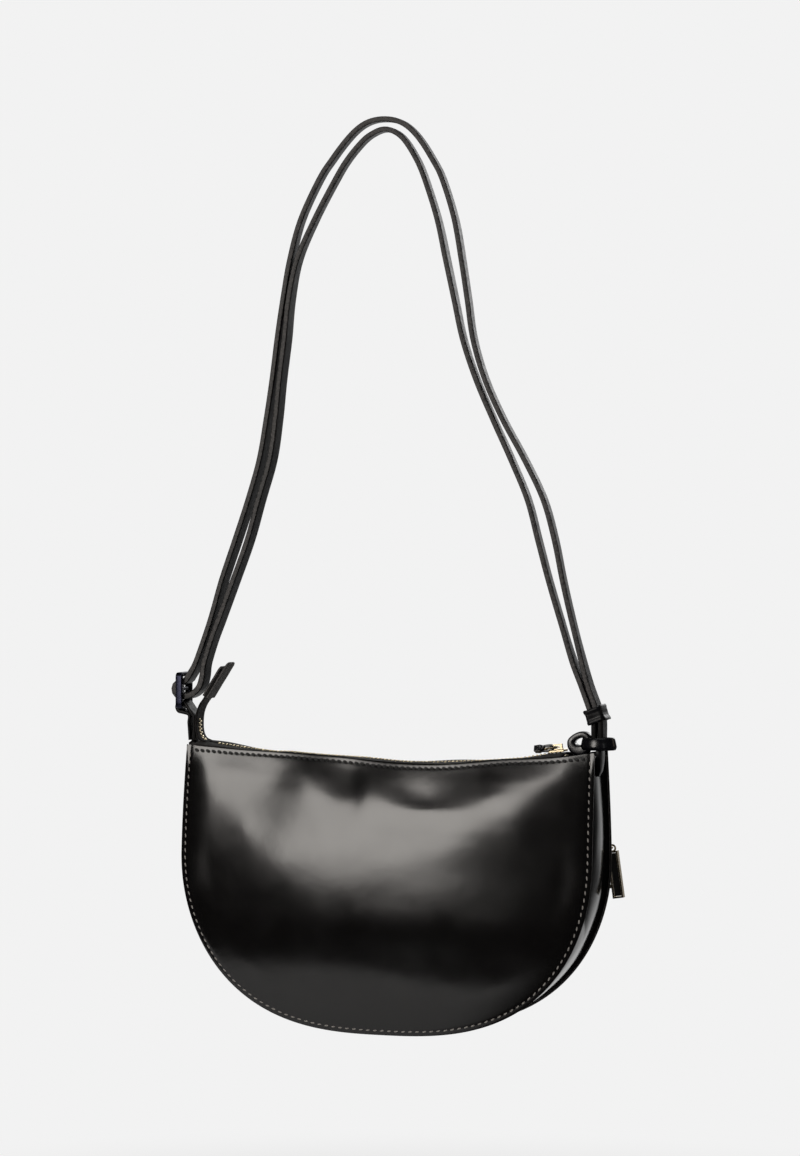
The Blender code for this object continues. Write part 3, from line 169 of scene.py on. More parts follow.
# Plated metal: polished zinc or brass under a thin electroplated colour, with faint rubbing marks.
def makePlated(name, base, roughness):
    material, tree, shader = newMaterial(name, base, {"Metallic": 1.0})
    rub = noiseOf(tree, 420.0, 4.0)
    rough = rangeOf(tree, rub, 0.3, 0.7, roughness - 0.05, roughness + 0.08)
    joinNode(tree, shader, {"Roughness": rough, "Normal": bumpOf(tree, rub, 0.3, 3e-5)})
    return material


# Waxed polyester thread: twisted plies catch the light as fine slanting lines.
def makeThread(name, base):
    look = dict(plyMm=0.35)
    material, tree, shader = newMaterial(name, base, {"Roughness": 0.55, "Sheen Weight": 0.2})
    ply = waveOf(tree, ownPlace(tree), "DIAGONAL", pi * 100 / look["plyMm"])
    joinNode(tree, shader, {"Normal": bumpOf(tree, ply, 0.5, 8e-5)})
    return material


# Enamel: dark lacquer laid in the pull bar's recess, with fine pits.
def makeEnamel():
    material, tree, shader = newMaterial("darkEnamel", "#1b1a19", {"Roughness": 0.38})
    pits = noiseOf(tree, 1400.0, 3.0)
    joinNode(tree, shader, {"Normal": bumpOf(tree, pits, 0.6, 0.0001)})
    return material


boxCalf = makeBoxCalf()
strapLeather = makeStrapLeather("strapCalf", "#0b0a0a", 0.42, 0.12)
knotLeather = makeStrapLeather("knotCalf", "#09090d", 0.2, 0.5, 0.35)
keeperLeather = makeStrapLeather("keeperCalf", "#08080b", 0.36, 0.22, 0.6)
edgePaint = makeEdgePaint()
suede = makeStrapLeather("fleshSideSuede", "#3b3937", 0.75)
liningCloth = makeWoven("liningTwill", "#1a1716", "#2a2523", 0.45, 0.85)
zipTape = makeWoven("zipTapeWeave", "#0f0c0b", "#201a18", 0.5, 0.8)
paleGold = makePlated("paleGoldPlate", "#fff0cc", 0.24)
paleNickel = makePlated("paleNickelPlate", "#c2b294", 0.24)
blackNickel = makePlated("blackNickelPlate", "#23242f", 0.26)
hemThread = makeThread("blackWaxedThread", "#0d0c0b")
# The rim's thread is black like the hem's. Its pale grey colour is a painted highlight for the glints on its beads, and
# it is also used for the pull's stitches.
glintPaintedThread = makeThread("blackThreadPaintedGlint", "#7c7772")
enamel = makeEnamel()
print("materials made")


def smooth(t):
    t = max(0, min(1, t))
    return t * t * (3 - 2 * t)


def ramp(value, start, span):
    return smooth((value - start) / span)


def hump(t):
    return exp(-t * t)


def easeOut(t):
    return sin(pi / 2 * min(1, t))


def signedPower(value, power):
    return copysign(abs(value) ** power, value)


def rumple(x, y, z):
    return noise.noise(Vector((x, y, z)))


def upright(x, rise):
    return Vector((x, 0, rise))


def flat(pairs):
    return [upright(x, rise) for x, rise in pairs]


def toMesh(name, work):
    mesh = bpy.data.meshes.new(name)
    work.to_mesh(mesh)
    work.free()
    return mesh


# Body "pivot" is for a piece held by the strap above the bag's swing and sewn to the bag below it.
def toObject(name, work, materials, body, *stands):
    bmesh.ops.translate(work, vec=bagMiddle, verts=work.verts)
    mesh = toMesh(name, work)
    for material in materials:
        mesh.materials.append(material)
    mesh.shade_smooth()
    mesh.set_sharp_from_angle(angle=creaseAngle)
    piece = bpy.data.objects.new(name, mesh)
    intoScene(piece)
    if body == "pivot":
        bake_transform(piece)
    else:
        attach(piece, body)
    if stands:
        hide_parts(*stands)
    return piece


# A sheet with a wall: leather has a second material on its rim, and bevelled edges, and cloth has neither.
def sheetPiece(name, work, materials, body, node, wall, edge=0.0004, segments=2):
    piece = toObject(name, work, materials, body, node)
    solid = piece.modifiers.new("wall", "SOLIDIFY")
    solid.thickness = wall
    solid.offset = 0.0
    solid.use_even_offset = True
    solid.material_offset_rim = len(materials) - 1
    if len(materials) > 1:
        bevel = piece.modifiers.new("edges", "BEVEL")
        bevel.width = edge
        bevel.segments = segments
        bevel.limit_method = "ANGLE"
        bevel.angle_limit = creaseAngle


# A grid of columns by rows cells set at place(i, j), with a UV map in metres.
def sheetWork(columns, rows, place, size=(1, 1)):
    work = bmesh.new()
    bmesh.ops.create_grid(work, x_segments=columns, y_segments=rows, size=0.5)
    weave = work.loops.layers.uv.new("weave")
    for face in work.faces:
        for loop in face.loops:
            loop[weave].uv = ((loop.vert.co.x + 0.5) * size[0], (loop.vert.co.y + 0.5) * size[1])
    for vert in work.verts:
        vert.co = Vector(place(round((vert.co.x + 0.5) * columns), round((vert.co.y + 0.5) * rows)))
    bmesh.ops.remove_doubles(work, verts=work.verts, dist=2e-6)
    return work


def curve(points, steps):
    route = []
    ends = [points[0] * 2 - points[1]] + list(points) + [points[-1] * 2 - points[-2]]
    for i in range(len(points) - 1):
        before, start, stop, after = ends[i : i + 4]
        for step in range(steps):
            t = step / steps
            route.append(
                0.5 * (2 * start + (stop - before) * t
                       + (2 * before - 5 * start + 4 * stop - after) * t ** 2
                       + (3 * start - before - 3 * stop + after) * t ** 3)
            )
    route.append(points[-1].copy())
    return route


def lengthOf(points):
    return sum((b - a).length for a, b in zip(points, points[1:]))


# The same route with its points evenly apart, as near to the spacing as fits.
def evenRoute(points, spacing):
    length = lengthOf(points)
    count = max(1, round(length / spacing))
    step = length / count
    route, walked, goal = [points[0].copy()], 0, step
    for a, b in zip(points, points[1:]):
        run = (b - a).length
        while run > 0 and walked + run >= goal - 1e-9 and len(route) < count:
            route.append(a.lerp(b, (goal - walked) / run))
            goal += step
        walked += run
    route.append(points[-1].copy())
    return route


# A solid with its cut carried along the route: cut(share, here) gives its (out, across) pairs, in order round it,
# and twist(here, along) may give another direction across at each point.
def sweepWork(route, cut, across=(0, 1, 0), closed=False, twist=None):
    last = len(route) - 1
    count = len(route) if closed else last
    cuts = [cut(i / count, here) for i, here in enumerate(route)]
    sides = len(cuts[0])

    def place(i, j):
        i = i % len(route)
        after = route[(i + 1) % len(route) if closed else min(i + 1, last)]
        along = (after - route[i - 1 if closed else max(i - 1, 0)]).normalized()
        sideways = twist(route[i], along) if twist else Vector(across)
        away, side = cuts[i][j % sides]
        return route[i] + along.cross(sideways) * away + sideways * side

    work = sheetWork(count, sides, place)
    bmesh.ops.holes_fill(work, edges=[e for e in work.edges if e.is_boundary], sides=0)
    bmesh.ops.recalc_face_normals(work, faces=work.faces)
    return work


# A soft-cornered cut: power 1 is an ellipse, and less is squarer.
def softCut(halfOut, halfAcross, power, count):
    turns = [tau * (k + 0.5) / count for k in range(count)]
    return [(signedPower(cos(t), power) * halfOut, signedPower(sin(t), power) * halfAcross) for t in turns]


# One shape, made by makeShape(work) round the origin, set at each matrix.
def repeatShape(name, makeShape, places, material, body, *stands):
    master = bmesh.new()
    makeShape(master)
    shape = toMesh(name + "One", master)
    work = bmesh.new()
    for matrix in places:
        start = len(work.verts)
        work.from_mesh(shape)
        work.verts.ensure_lookup_table()
        bmesh.ops.transform(work, matrix=matrix, verts=work.verts[start:])
    bpy.data.meshes.remove(shape)
    toObject(name, work, [material], body, *stands)


# Sets a shape's X and Y along these two.
def axesAt(origin, first, second):
    return Matrix.Translation(origin) @ Matrix((first, second, first.cross(second))).transposed().to_4x4()


# Sets a shape's X along, and its Z out.
def standing(origin, along, out):
    along = Vector(along).normalized()
    out = (Vector(out) - along * along.dot(Vector(out))).normalized()
    return axesAt(origin, along, out.cross(along))


def roundEdges(work, width):
    bmesh.ops.bevel(work, geom=work.edges[:], offset=width, affect="EDGES", segments=2, profile=0.5, material=-1)


def stitchShape(length, width, height):
    def make(work):
        bmesh.ops.create_uvsphere(work, u_segments=8, v_segments=6, radius=0.5)
        bmesh.ops.rotate(work, verts=work.verts, matrix=Matrix.Rotation(pi / 2, 3, "Y"))
        bmesh.ops.scale(work, vec=(length, width, height), verts=work.verts)
    return make


bag = dict(
    cornerX=0.1295, widestX=0.13, widestAt=0.0645, height=0.1718, depthPower=2.05, widthPower=2.75,
    hemSag=0.01, topGapHalf=0.014, deepGapHalf=0.0225, flareDepth=0.09, crown=0.005, crownDepth=0.05,
    panelWall=0.0014, gussetWall=0.0012, seamDepth=0.003, seamGap=0.00015,
)


def hemRise(x):
    return -bag["hemSag"] * (1 - (x / bag["cornerX"]) ** 2)


# The soft hems don't keep to the cut line: x, reach and height of each lift of the back's and the front's. The zip
# between them rises, falls again and lies flat at its slider: from x, over.
hems = dict(
    back=((-0.048, 0.056, 0.0042), (0.072, 0.026, 0.0018)), front=((0.035, 0.018, 0.001),), cornerFade=0.02,
    zipUp=0.001, zipRises=(-0.079, 0.014), zipDown=0.0021, zipFalls=(-0.025, 0.04), zipFlat=(0.078, 0.02),
)


def hemLift(side, x):
    lift = sum(up * hump((x - middle) / reach) for middle, reach, up in hems["back" if side < 0 else "front"])
    return lift * smooth((bag["cornerX"] - abs(x)) / hems["cornerFade"])


def zipLift(x):
    lift = hems["zipUp"] * ramp(x, *hems["zipRises"]) - hems["zipDown"] * ramp(x, *hems["zipFalls"])
    return lift * (1 - ramp(x, *hems["zipFlat"]))


def fallShare(depth):
    return (depth - bag["widestAt"]) / (bag["height"] - bag["widestAt"])


def halfWidth(depth):
    if depth < bag["widestAt"]:
        return bag["cornerX"] + (bag["widestX"] - bag["cornerX"]) * easeOut(depth / bag["widestAt"])
    return bag["widestX"] * (1 - min(1, fallShare(depth)) ** bag["depthPower"]) ** (1 / bag["widthPower"])


def gapHalf(depth):
    return bag["topGapHalf"] + (bag["deepGapHalf"] - bag["topGapHalf"]) * easeOut(depth / bag["flareDepth"])


def panelY(x, depth):
    width = halfWidth(depth)
    across = max(0, 1 - (x / width) ** 2) if width > 0.0003 else 0.0
    rise = easeOut(depth / bag["crownDepth"])
    return gapHalf(depth) + bag["crown"] * rise * across * (1 - max(0, fallShare(depth)) ** 2)


def rimOutline(topDepth, sideSteps, lowerSteps):
    side = [topDepth + (bag["widestAt"] - topDepth) * i / sideSteps for i in range(sideSteps)]
    points = [Vector((-halfWidth(depth), -depth, 0)) for depth in side]
    for step in range(lowerSteps + 1):
        turn = pi * step / lowerSteps
        reach = bag["widestX"] * abs(cos(turn)) ** (2 / bag["widthPower"])
        fall = sin(turn) ** (2 / bag["depthPower"]) if 0 < step < lowerSteps else 0.0
        depth = bag["widestAt"] + (bag["height"] - bag["widestAt"]) * fall
        points.append(Vector((-reach if turn < pi / 2 else reach, -depth, 0)))
    return points + [Vector((halfWidth(depth), -depth, 0)) for depth in reversed(side)]


def rimLine(topDepth, spacing):
    return [p.to_2d() for p in evenRoute(rimOutline(topDepth, 60, 900), spacing)]


def rimPoint(rim, index, inset):
    run = (rim[min(index + 1, len(rim) - 1)] - rim[max(index - 1, 0)]).normalized()
    return rim[index].x - run.y * inset, rim[index].y + run.x * inset


panels = dict(
    stitchInset=0.0026, rimGroove=0.00012, hemGroove=4e-5, grooveWidth=0.0009, pillow=0.0012,
    pillowReach=0.007, fade=0.02, fadeLimit=0.03,
    # swells of the soft back, and dents pushed into it: x, depth, half length, half height, turn, how far it stands out
    swells=(
        (-0.0251, 0.1295, 0.09, 0.0213, 0.15, 0.00109), (0.0029, 0.1059, 0.0715, 0.0163, 0.04, 0.00098),
        (0.0207, 0.0277, 0.0102, 0.02, -1.2, -0.00036), (0.0285, 0.0396, 0.0446, 0.0079, 0, 0.00073),
        (0.0721, 0.0317, 0.09, 0.017, -0.48, 0.00054), (0.0904, 0.0389, 0.0124, 0.0173, 1.2, 0.00042),
        (-0.0243, 0.02, 0.0147, 0.02, -0.05, -0.0014), (-0.0898, 0.0477, 0.0114, 0.016, -0.67, 0.00023),
        (0.0986, 0.0796, 0.066, 0.0216, 0.06, -0.001), (-0.0837, 0.0308, 0.0867, 0.0334, -1.14, -0.00114),
        (0.0388, 0.0262, 0.0393, 0.0213, -0.95, -0.00097), (0.0217, 0.0159, 0.09, 0.0103, 0.01, -0.0008),
        (-0.125, 0.0365, 0.0759, 0.0246, 0.45, 0.00082), (-0.0694, 0.0183, 0.0205, 0.0091, 0.11, -0.00044),
        (-0.003, 0.0696, 0.09, 0.0153, -0.07, -0.00031),
    ),
)


def backBulge(x, depth):
    push = 0.0
    for swellX, swellDepth, long, high, turn, out in panels["swells"]:
        along = (x - swellX) * cos(turn) + (depth - swellDepth) * sin(turn)
        down = (depth - swellDepth) * cos(turn) - (x - swellX) * sin(turn)
        push += out * hump(along / long) * hump(down / high)
    return push


# How far the middle of the panel's leather stands from the bag's middle plane.
def panelSurface(side, x, depth, rimGap, hemGap):
    y = panelY(x, depth) + bag["seamGap"] + bag["panelWall"] / 2
    y -= panels["rimGroove"] * hump((rimGap - panels["stitchInset"]) / panels["grooveWidth"])
    y -= panels["hemGroove"] * hump((hemGap - panels["stitchInset"]) / panels["grooveWidth"])
    if side < 0:
        edge = min(rimGap, panels["fadeLimit"])
        y += backBulge(x, depth) * smooth(edge / panels["fade"])
        y += panels["pillow"] * (1 - exp(-edge / panels["pillowReach"])) * smooth(depth / panels["fade"])
    return y


rimTree = kdtree.KDTree(1600)
for i, spot in enumerate(rimLine(-0.02, 0.0004)):
    rimTree.insert((spot.x, spot.y, 0), i)
rimTree.balance()
# how far in from rim and hem the panel's rows lie: close together at the stitches' grooves
grooveSteps = [0.0, 0.0008, 0.0015, 0.0021, 0.0026, 0.003, 0.0034, 0.0039, 0.0046]
rimSteps, hemSteps = grooveSteps + [0.0056, 0.007, 0.009], grooveSteps + [0.0058, 0.0076]
leatherGrid, clothGrid = 0.0019, 0.004  # how far apart the columns of leather and cloth are along the rim


def panelWork(side, middleRows=46, shortest=0.036):
    rim = rimLine(0, leatherGrid)
    rows = len(hemSteps) + middleRows + len(rimSteps) - 1

    def place(i, j):
        topX = bag["cornerX"] * (2 * i / (len(rim) - 1) - 1)
        top = Vector((topX, hemRise(topX) + hemLift(side, topX)))
        length = (rim[i] - top).length
        fit = min(1, length / shortest)
        last = rows - j
        if j < len(hemSteps):
            gone = hemSteps[j] * fit
        elif last < len(rimSteps):
            gone = length - rimSteps[last] * fit
        else:
            start, stop = hemSteps[-1] * fit, length - rimSteps[-1] * fit
            gone = start + (stop - start) * (j - len(hemSteps) + 1) / (middleRows + 1)
        spot = top.lerp(rim[i], gone / length if length > 1e-7 else 0)
        rimGap = rimTree.find((spot.x, spot.y, 0))[2]
        return spot.x, side * panelSurface(side, spot.x, -spot.y, rimGap, gone), spot.y

    return sheetWork(len(rim) - 1, rows, place)


sheetPiece("backPanelLeather", panelWork(-1), [boxCalf, edgePaint], "bag", "back_panel", bag["panelWall"], 0.00045, 3)

slot = dict(half=0.1175, height=0.01, depth=0.06)
front = panelWork(1)
for normal, middle, half in (((0, 0, 1), -slot["depth"], slot["height"] / 2), ((1, 0, 0), 0, slot["half"])):
    for cutAt in (middle + half, middle - half):
        whole = front.verts[:] + front.edges[:] + front.faces[:]
        bmesh.ops.bisect_plane(front, geom=whole, dist=1e-6, plane_co=Vector(normal) * cutAt, plane_no=normal)


def inSlot(spot):
    return abs(spot.x) < slot["half"] and abs(spot.z + slot["depth"]) < slot["height"] / 2


bmesh.ops.delete(front, geom=[f for f in front.faces if inSlot(f.calc_center_median())], context="FACES")
sheetPiece("frontPanelLeather", front, [boxCalf, edgePaint], "bag", "front_panel", bag["panelWall"])

stitches = dict(
    hemEnd=0.005,
    Rim=dict(pitch=0.0045, width=0.001, share=0.58, lean=-10, lift=0.0, thread=glintPaintedThread),
    Hem=dict(pitch=0.0037, width=0.0021, share=0.84, lean=28, lift=0.0002, thread=hemThread),
)


# A row of stitches along the places, which stand a pitch apart and say how far the rim and the hem are.
def stitchRow(label, kind, side, row):
    look = stitches[kind]
    points = []
    for x, rise, rimGap, hemGap in row:
        y = panelSurface(side, x, -rise, rimGap, hemGap) + bag["panelWall"] / 2 + look["lift"]
        points.append(Vector((x, side * y, rise)))
    slant = Matrix.Rotation(radians(look["lean"] * side), 4, "Z")  # a lockstitch lies a little across its row
    places = [standing((a + b) / 2, b - a, (0, side, 0)) @ slant for a, b in zip(points, points[1:])]
    shape = stitchShape(look["pitch"] * look["share"], look["width"], look["width"] * 0.7)
    repeatShape(label + kind + "Stitches", shape, places, look["thread"], "bag")


hemHalf = bag["cornerX"] - stitches["hemEnd"]
faces = ((-1, "back"), (1, "front"))
for side, label in faces:
    inset = panels["stitchInset"]
    rim = rimLine(0.004, stitches["Rim"]["pitch"])
    stitchRow(label, "Rim", side, [(*rimPoint(rim, i, inset), inset, 1) for i in range(len(rim))])
    hem = [hemHalf * (2 * i / 400 - 1) for i in range(401)]
    hem = evenRoute([upright(x, hemRise(x) + hemLift(side, x) - inset) for x in hem], stitches["Hem"]["pitch"])
    stitchRow(label, "Hem", side, [(p.x, p.z, 1, inset) for p in hem])
print("panels sewn")

gusset = dict(
    lip=(0.0004, 0.001, 0.0018, 0.0024), bulge=0.0016, bulgeDepth=0.05, topDrop=0.003, bodyRows=16, ripple=0.00035,
)


def gussetWork():
    rim = rimLine(gusset["topDrop"], leatherGrid)
    lip, body = gusset["lip"], gusset["bodyRows"]
    rows = body + 2 * len(lip)

    def place(i, j):
        depth = -rim[i].y
        face = gapHalf(depth) - bag["seamGap"] - bag["gussetWall"] / 2
        step = j - len(lip)
        if step < 0:
            inset, y = lip[j], -face
        elif step > body:
            inset, y = lip[rows - j], face
        else:
            share = 2 * step / body - 1
            y = face * share
            swell = gusset["bulge"] * easeOut(depth / gusset["bulgeDepth"])
            swell += gusset["ripple"] * rumple(i * 0.07, share * 1.3, 7.7)
            inset = bag["seamDepth"] + bag["gussetWall"] / 2 - swell * (1 - share * share)
        x, rise = rimPoint(rim, i, inset)
        return x, y, rise

    return sheetWork(len(rim) - 1, rows, place)


sheetPiece("gussetLeather", gussetWork(), [boxCalf, edgePaint], "bag", "gusset", bag["gussetWall"])

lining = dict(
    wall=0.0005, clearance=0.0006, topDepth=0.01, edgeInset=0.0056, gussetInset=0.0046, frontSetback=0.01,
    rumple=0.0003,
)
liningRim = rimLine(lining["topDepth"], clothGrid)


def liningFace(yAt):
    end = bag["cornerX"] - lining["edgeInset"]

    def place(i, j):
        topX = end * (2 * i / (len(liningRim) - 1) - 1)
        top = Vector((topX, -lining["topDepth"] - bag["hemSag"] * (1 - (topX / end) ** 2)))
        spot = top.lerp(Vector(rimPoint(liningRim, i, lining["edgeInset"])), j / 30)
        rough = rumple(spot.x * 60, spot.y * 60, 1.7) * lining["rumple"]
        return spot.x, yAt(panelY(spot.x, -spot.y)) + rough, spot.y

    return sheetWork(len(liningRim) - 1, 30, place, (0.4, 0.16))


def liningStrip(i, j):
    half = gapHalf(-liningRim[i].y)
    low, high = lining["clearance"] + 0.0006 - half, half - lining["frontSetback"] - 0.0006
    x, rise = rimPoint(liningRim, i, lining["gussetInset"] + lining["wall"] / 2)
    return x, low + (high - low) * j / 8, rise


pocket = dict(
    half=0.104, depth=0.082, thickness=0.0072, clearance=0.0019, frontDrop=0.008, backRise=0.0085, wall=0.0004,
)


def pocketPlace(i, j):
    turn, v = tau * i / 96, j / 20
    out, along = signedPower(sin(turn), 0.5), signedPower(cos(turn), 0.5)
    top = slot["depth"] + (pocket["frontDrop"] if out > 0 else -pocket["backRise"]) * ramp(abs(out), 0.3, 0.5)
    depth = top + (slot["depth"] + pocket["depth"] - top) * v
    x = along * pocket["half"] * (1 - v ** 3 / 5)
    thickness = pocket["thickness"] * sqrt(max(0, 1 - v ** 4))
    return x, panelY(x, depth) - pocket["clearance"] - pocket["thickness"] / 2 + out * thickness / 2, -depth


for name, node, wall, work in (
    ("liningBackCloth", "lining_back", lining["wall"], liningFace(lambda y: 0.00095 - y)),
    ("liningFrontCloth", "lining_front", lining["wall"], liningFace(lambda y: y - lining["frontSetback"] - 0.0003)),
    ("liningGussetCloth", "lining_gusset", lining["wall"], sheetWork(len(liningRim) - 1, 8, liningStrip, (0.42, 0.03))),
    ("pocketBagCloth", "front_pocket_bag", pocket["wall"], sheetWork(96, 20, pocketPlace, (0.42, 0.09))),
):
    sheetPiece(name, work, [liningCloth], "bag", node, wall)
print("inside made")

zips = dict(
    pitch=0.0024, toothWidth=0.0012, slope=0.0004, toothHeight=0.0019, reach=0.0028, past=0.0006, toothEdge=0.0003,
    tapeWall=0.0006, crownRise=0.002, farDrop=0.001, hemGap=0.0007,
)


# A stamped tooth clamped on the tape's cord: square legs, and a narrower head.
def toothShape(work):
    reach = zips["reach"]
    bmesh.ops.create_cube(work, size=1.0)
    bmesh.ops.scale(work, vec=(zips["toothWidth"], reach * 0.62, zips["toothHeight"]), verts=work.verts)
    bmesh.ops.translate(work, vec=(0, reach * 0.5, 0), verts=work.verts)
    work.faces.ensure_lookup_table()
    head = min(work.faces, key=lambda f: f.calc_center_median().y)
    grown = bmesh.ops.extrude_discrete_faces(work, faces=[head])["faces"][0]
    bmesh.ops.translate(work, vec=(0, -reach * 0.34 - zips["past"] / 2, 0), verts=grown.verts)
    bmesh.ops.scale(work, vec=(0.66, 1, 0.6), verts=grown.verts)
    foot = [v for v in work.verts if v.co.y > reach * 0.5 and v.co.z > 0]
    bmesh.ops.translate(work, vec=(0, -zips["slope"], 0), verts=foot)
    roundEdges(work, zips["toothEdge"])
    bmesh.ops.recalc_face_normals(work, faces=work.faces)


# The second row of teeth starts half a pitch later. setAt(side, x) gives a tooth's place and two axes.
def toothRow(name, node, side, second, ends, setAt):
    start = ends["teethLeft"] + second * zips["pitch"] / 2
    count = int((ends["teethRight"] - start) / zips["pitch"])
    places = [axesAt(*setAt(side, start + (i + 0.5) * zips["pitch"])) for i in range(count)]
    repeatShape(name, toothShape, places, paleGold, "bag", node)


mainZip = dict(
    left=-0.1258, right=0.1085, teethLeft=-0.115, teethRight=0.1065, hump=0.0013, humpX=-0.113, humpReach=0.014,
    ruffle=0.0004,
)
# The tape's cut, from its turned-down edge to its teeth: share of the hem's y, y added, rise, share in the hump.
tapeTurns = (
    (1, 0, -0.007, 0), (1, 0, -0.004, 0), (1, 0, -0.0012, 0), (1, -0.0007, 0.0002, 0.3), (1, -0.0025, 0.0007, 0.8),
    (0.72, 0, 0.0012, 1), (0.45, 0, 0.0016, 0.7), (0, 0.003, 0.0019, 0.15), (0, 0.0019, 0.002, 0),
)


def tapePlace(side, i, j):
    x = mainZip["left"] + (mainZip["right"] - mainZip["left"]) * i / 156
    share, added, height, humped = tapeTurns[j]
    y = share * (panelY(x, -hemRise(x)) - zips["hemGap"]) + added
    if 2 < j < 7:
        height += rumple(x * 40, y * 60 * side, 5.0) * mainZip["ruffle"]
    if side > 0:
        height += mainZip["hump"] * humped * hump((x - mainZip["humpX"]) / mainZip["humpReach"])
    lift = hemLift(side, x) + (zipLift(x) - hemLift(side, x)) * ramp(j, 2, 5)
    return x, side * y, hemRise(x) + lift + height


def mainTooth(side, x):
    rise = hemRise(x) + zipLift(x) + zips["crownRise"] - (zips["farDrop"] if side > 0 else 0)
    along = upright(1, 2 * bag["hemSag"] * x / bag["cornerX"] ** 2).normalized()
    return upright(x, rise), along * side, Vector((0, side, 0))  # its own top stays upwards on both sides


for side, label in faces:
    toothRow("mainTeeth" + label.title(), "main_zip_teeth_" + label, side, side > 0, mainZip, mainTooth)
for side, label in faces:
    tape = sheetWork(156, 8, lambda i, j: tapePlace(side, i, j), (0.234, 0.022))
    sheetPiece("mainTape" + label.title(), tape, [zipTape], "bag", "main_zip_tape_" + label, zips["tapeWall"])

pocketZip = dict(half=0.1205, inner=0.0019, outer=0.01, setback=0.0008, teethLeft=-0.112, teethRight=0.1155)


def pocketZipSpot(x, rise):
    return Vector((x, panelY(x, -rise) - pocketZip["setback"], rise))


def pocketTapePlace(side, i, j):
    height = pocketZip["inner"] + (pocketZip["outer"] - pocketZip["inner"]) * j / 6
    return pocketZipSpot(pocketZip["half"] * (2 * i / 150 - 1), side * height - slot["depth"])


def pocketTooth(side, x):
    before, here, after = (pocketZipSpot(x + step, -slot["depth"]) for step in (-0.001, 0, 0.001))
    return here, (after - before).normalized(), Vector((0, 0, side))


for side, label in ((1, "upper"), (-1, "lower")):
    tape = sheetWork(150, 6, lambda i, j: pocketTapePlace(side, i, j), (0.241, 0.008))
    sheetPiece("pocketTape" + label.title(), tape, [zipTape], "bag", "front_zip_tape_" + label, zips["tapeWall"])
    toothRow("pocketTeeth" + label.title(), "front_zip_teeth_" + label, side, side < 0, pocketZip, pocketTooth)
print("zips closed")

strap = dict(
    width=0.012, wall=0.0032, reach=0.13, height=0.3732, spacing=0.0041, tongueX=0.1282, straightRise=0.018,
    lean=0.374, leanTop=0.04, endRise=0.003, pinch=0.1, pinchRise=0.006, swell=0.22, twist=0.46, twistRise=0.245,
    rightTwist=0.42, rightTwistRise=0.036, edgeShadeRise=0.022,
)
# The two strands, in thousandths of the strap's reach and ten-thousandths of its height, and the turn between them,
# in shares of the buckle's height.
outerStrand = (
    (907, 1458), (859, 2100), (816, 2735), (778, 3375), (725, 4016), (635, 4657), (531, 5303), (445, 5949),
    (388, 6598), (360, 7244), (331, 7890), (297, 8539), (238, 9190), (190, 9517), (128, 9849), (70, 10060),
    (10, 10170), (-60, 10200), (-124, 10160), (-180, 10050), (-238, 9855), (-304, 9571), (-367, 9257), (-459, 8609),
    (-511, 7962), (-543, 7311), (-571, 6654), (-596, 6000), (-626, 5343), (-661, 4687), (-718, 4027), (-784, 3367),
    (-852, 2705), (-910, 2040), (-980, 1375), (-1008, 1180), (-1027, 1085),
)
buckleTurn = (
    (0.13, 0.765), (0, 0.73), (-0.11, 0.696), (-0.172, 0.63), (-0.194, 0.535), (-0.172, 0.44), (-0.11, 0.372),
    (0, 0.346), (0.18, 0.356), (0.34, 0.42),
)
innerStrand = (
    (-966, 938), (-951, 1112), (-942, 1320), (-907, 1700), (-868, 2043), (-794, 2705), (-722, 3367), (-666, 4027),
    (-609, 4687), (-580, 5343), (-560, 6000), (-535, 6654), (-515, 7308), (-475, 7960), (-390, 8606), (-286, 9250),
    (-226, 9569), (-150, 9860), (-95, 9985), (-45, 10034), (5, 9985), (55, 9840), (112, 9528), (153, 9200),
    (214, 8547), (256, 7896), (297, 7244), (338, 6600), (402, 5952), (484, 5303), (570, 4660), (649, 4016),
    (699, 3375), (749, 2735), (805, 2094), (862, 1460),
)
buckleAt = dict(x=-0.1376, bottom=0.021, height=0.023, bar=0.003)


def leanX(x, rise):
    return x - strap["lean"] * (rise - strap["straightRise"])


def strandEnd(side):
    x = strap["tongueX"] + side * strap["spacing"] / 2
    low, high = strap["straightRise"], strap["leanTop"]
    return flat([(x, strap["endRise"])]), flat([(leanX(x, rise), rise) for rise in (low, (low + high) / 2, high)])


def scaled(pairs, sizeX, sizeRise, start=(0, 0)):
    return flat([(start[0] + x * sizeX, start[1] + rise * sizeRise) for x, rise in pairs])


(outerEnd, outerLean), (innerEnd, innerLean) = strandEnd(1), strandEnd(-1)
outer, inner = (scaled(strand, strap["reach"] / 1000, strap["height"] / 10000) for strand in (outerStrand, innerStrand))
tall = buckleAt["height"]
turn = scaled(buckleTurn, tall, tall, (buckleAt["x"], buckleAt["bottom"]))
strapRoute = curve(outerLean + outer + turn + inner + innerLean[::-1], 8)
strapRoute = evenRoute(outerEnd + strapRoute + innerEnd, 0.0022)
turnMiddle = upright(buckleAt["x"] + 0.004, buckleAt["bottom"] + tall * 0.6)


# The strap is thicker where it turns in the buckle, and drawn in where it goes through the knot.
def strapCut(share, here):
    thick = 1 + strap["swell"] * (1 - ramp((here - turnMiddle).length, 0.007, 0.012))
    broad = 1 - strap["pinch"] * (1 - ramp(here.z, strap["pinchRise"], 0.008))
    return softCut(strap["wall"] / 2 * thick, strap["width"] / 2 * broad, 0.22, 24)


# High on its arch the strap has turned until its edge faces whoever stands before the bag's right end.
def strapTwist(here, along):
    share = strap["twist"] * ramp(here.z, strap["twistRise"], 0.09)
    right = smooth(here.x / 0.05) * ramp(here.z, strap["rightTwistRise"], 0.036)
    facing = (here - Vector((0.635, -1.914, 0.134))).normalized()
    across = Vector((0, 1, 0)).lerp(facing, max(share, strap["rightTwist"] * right))
    return (across - along * across.dot(along)).normalized()


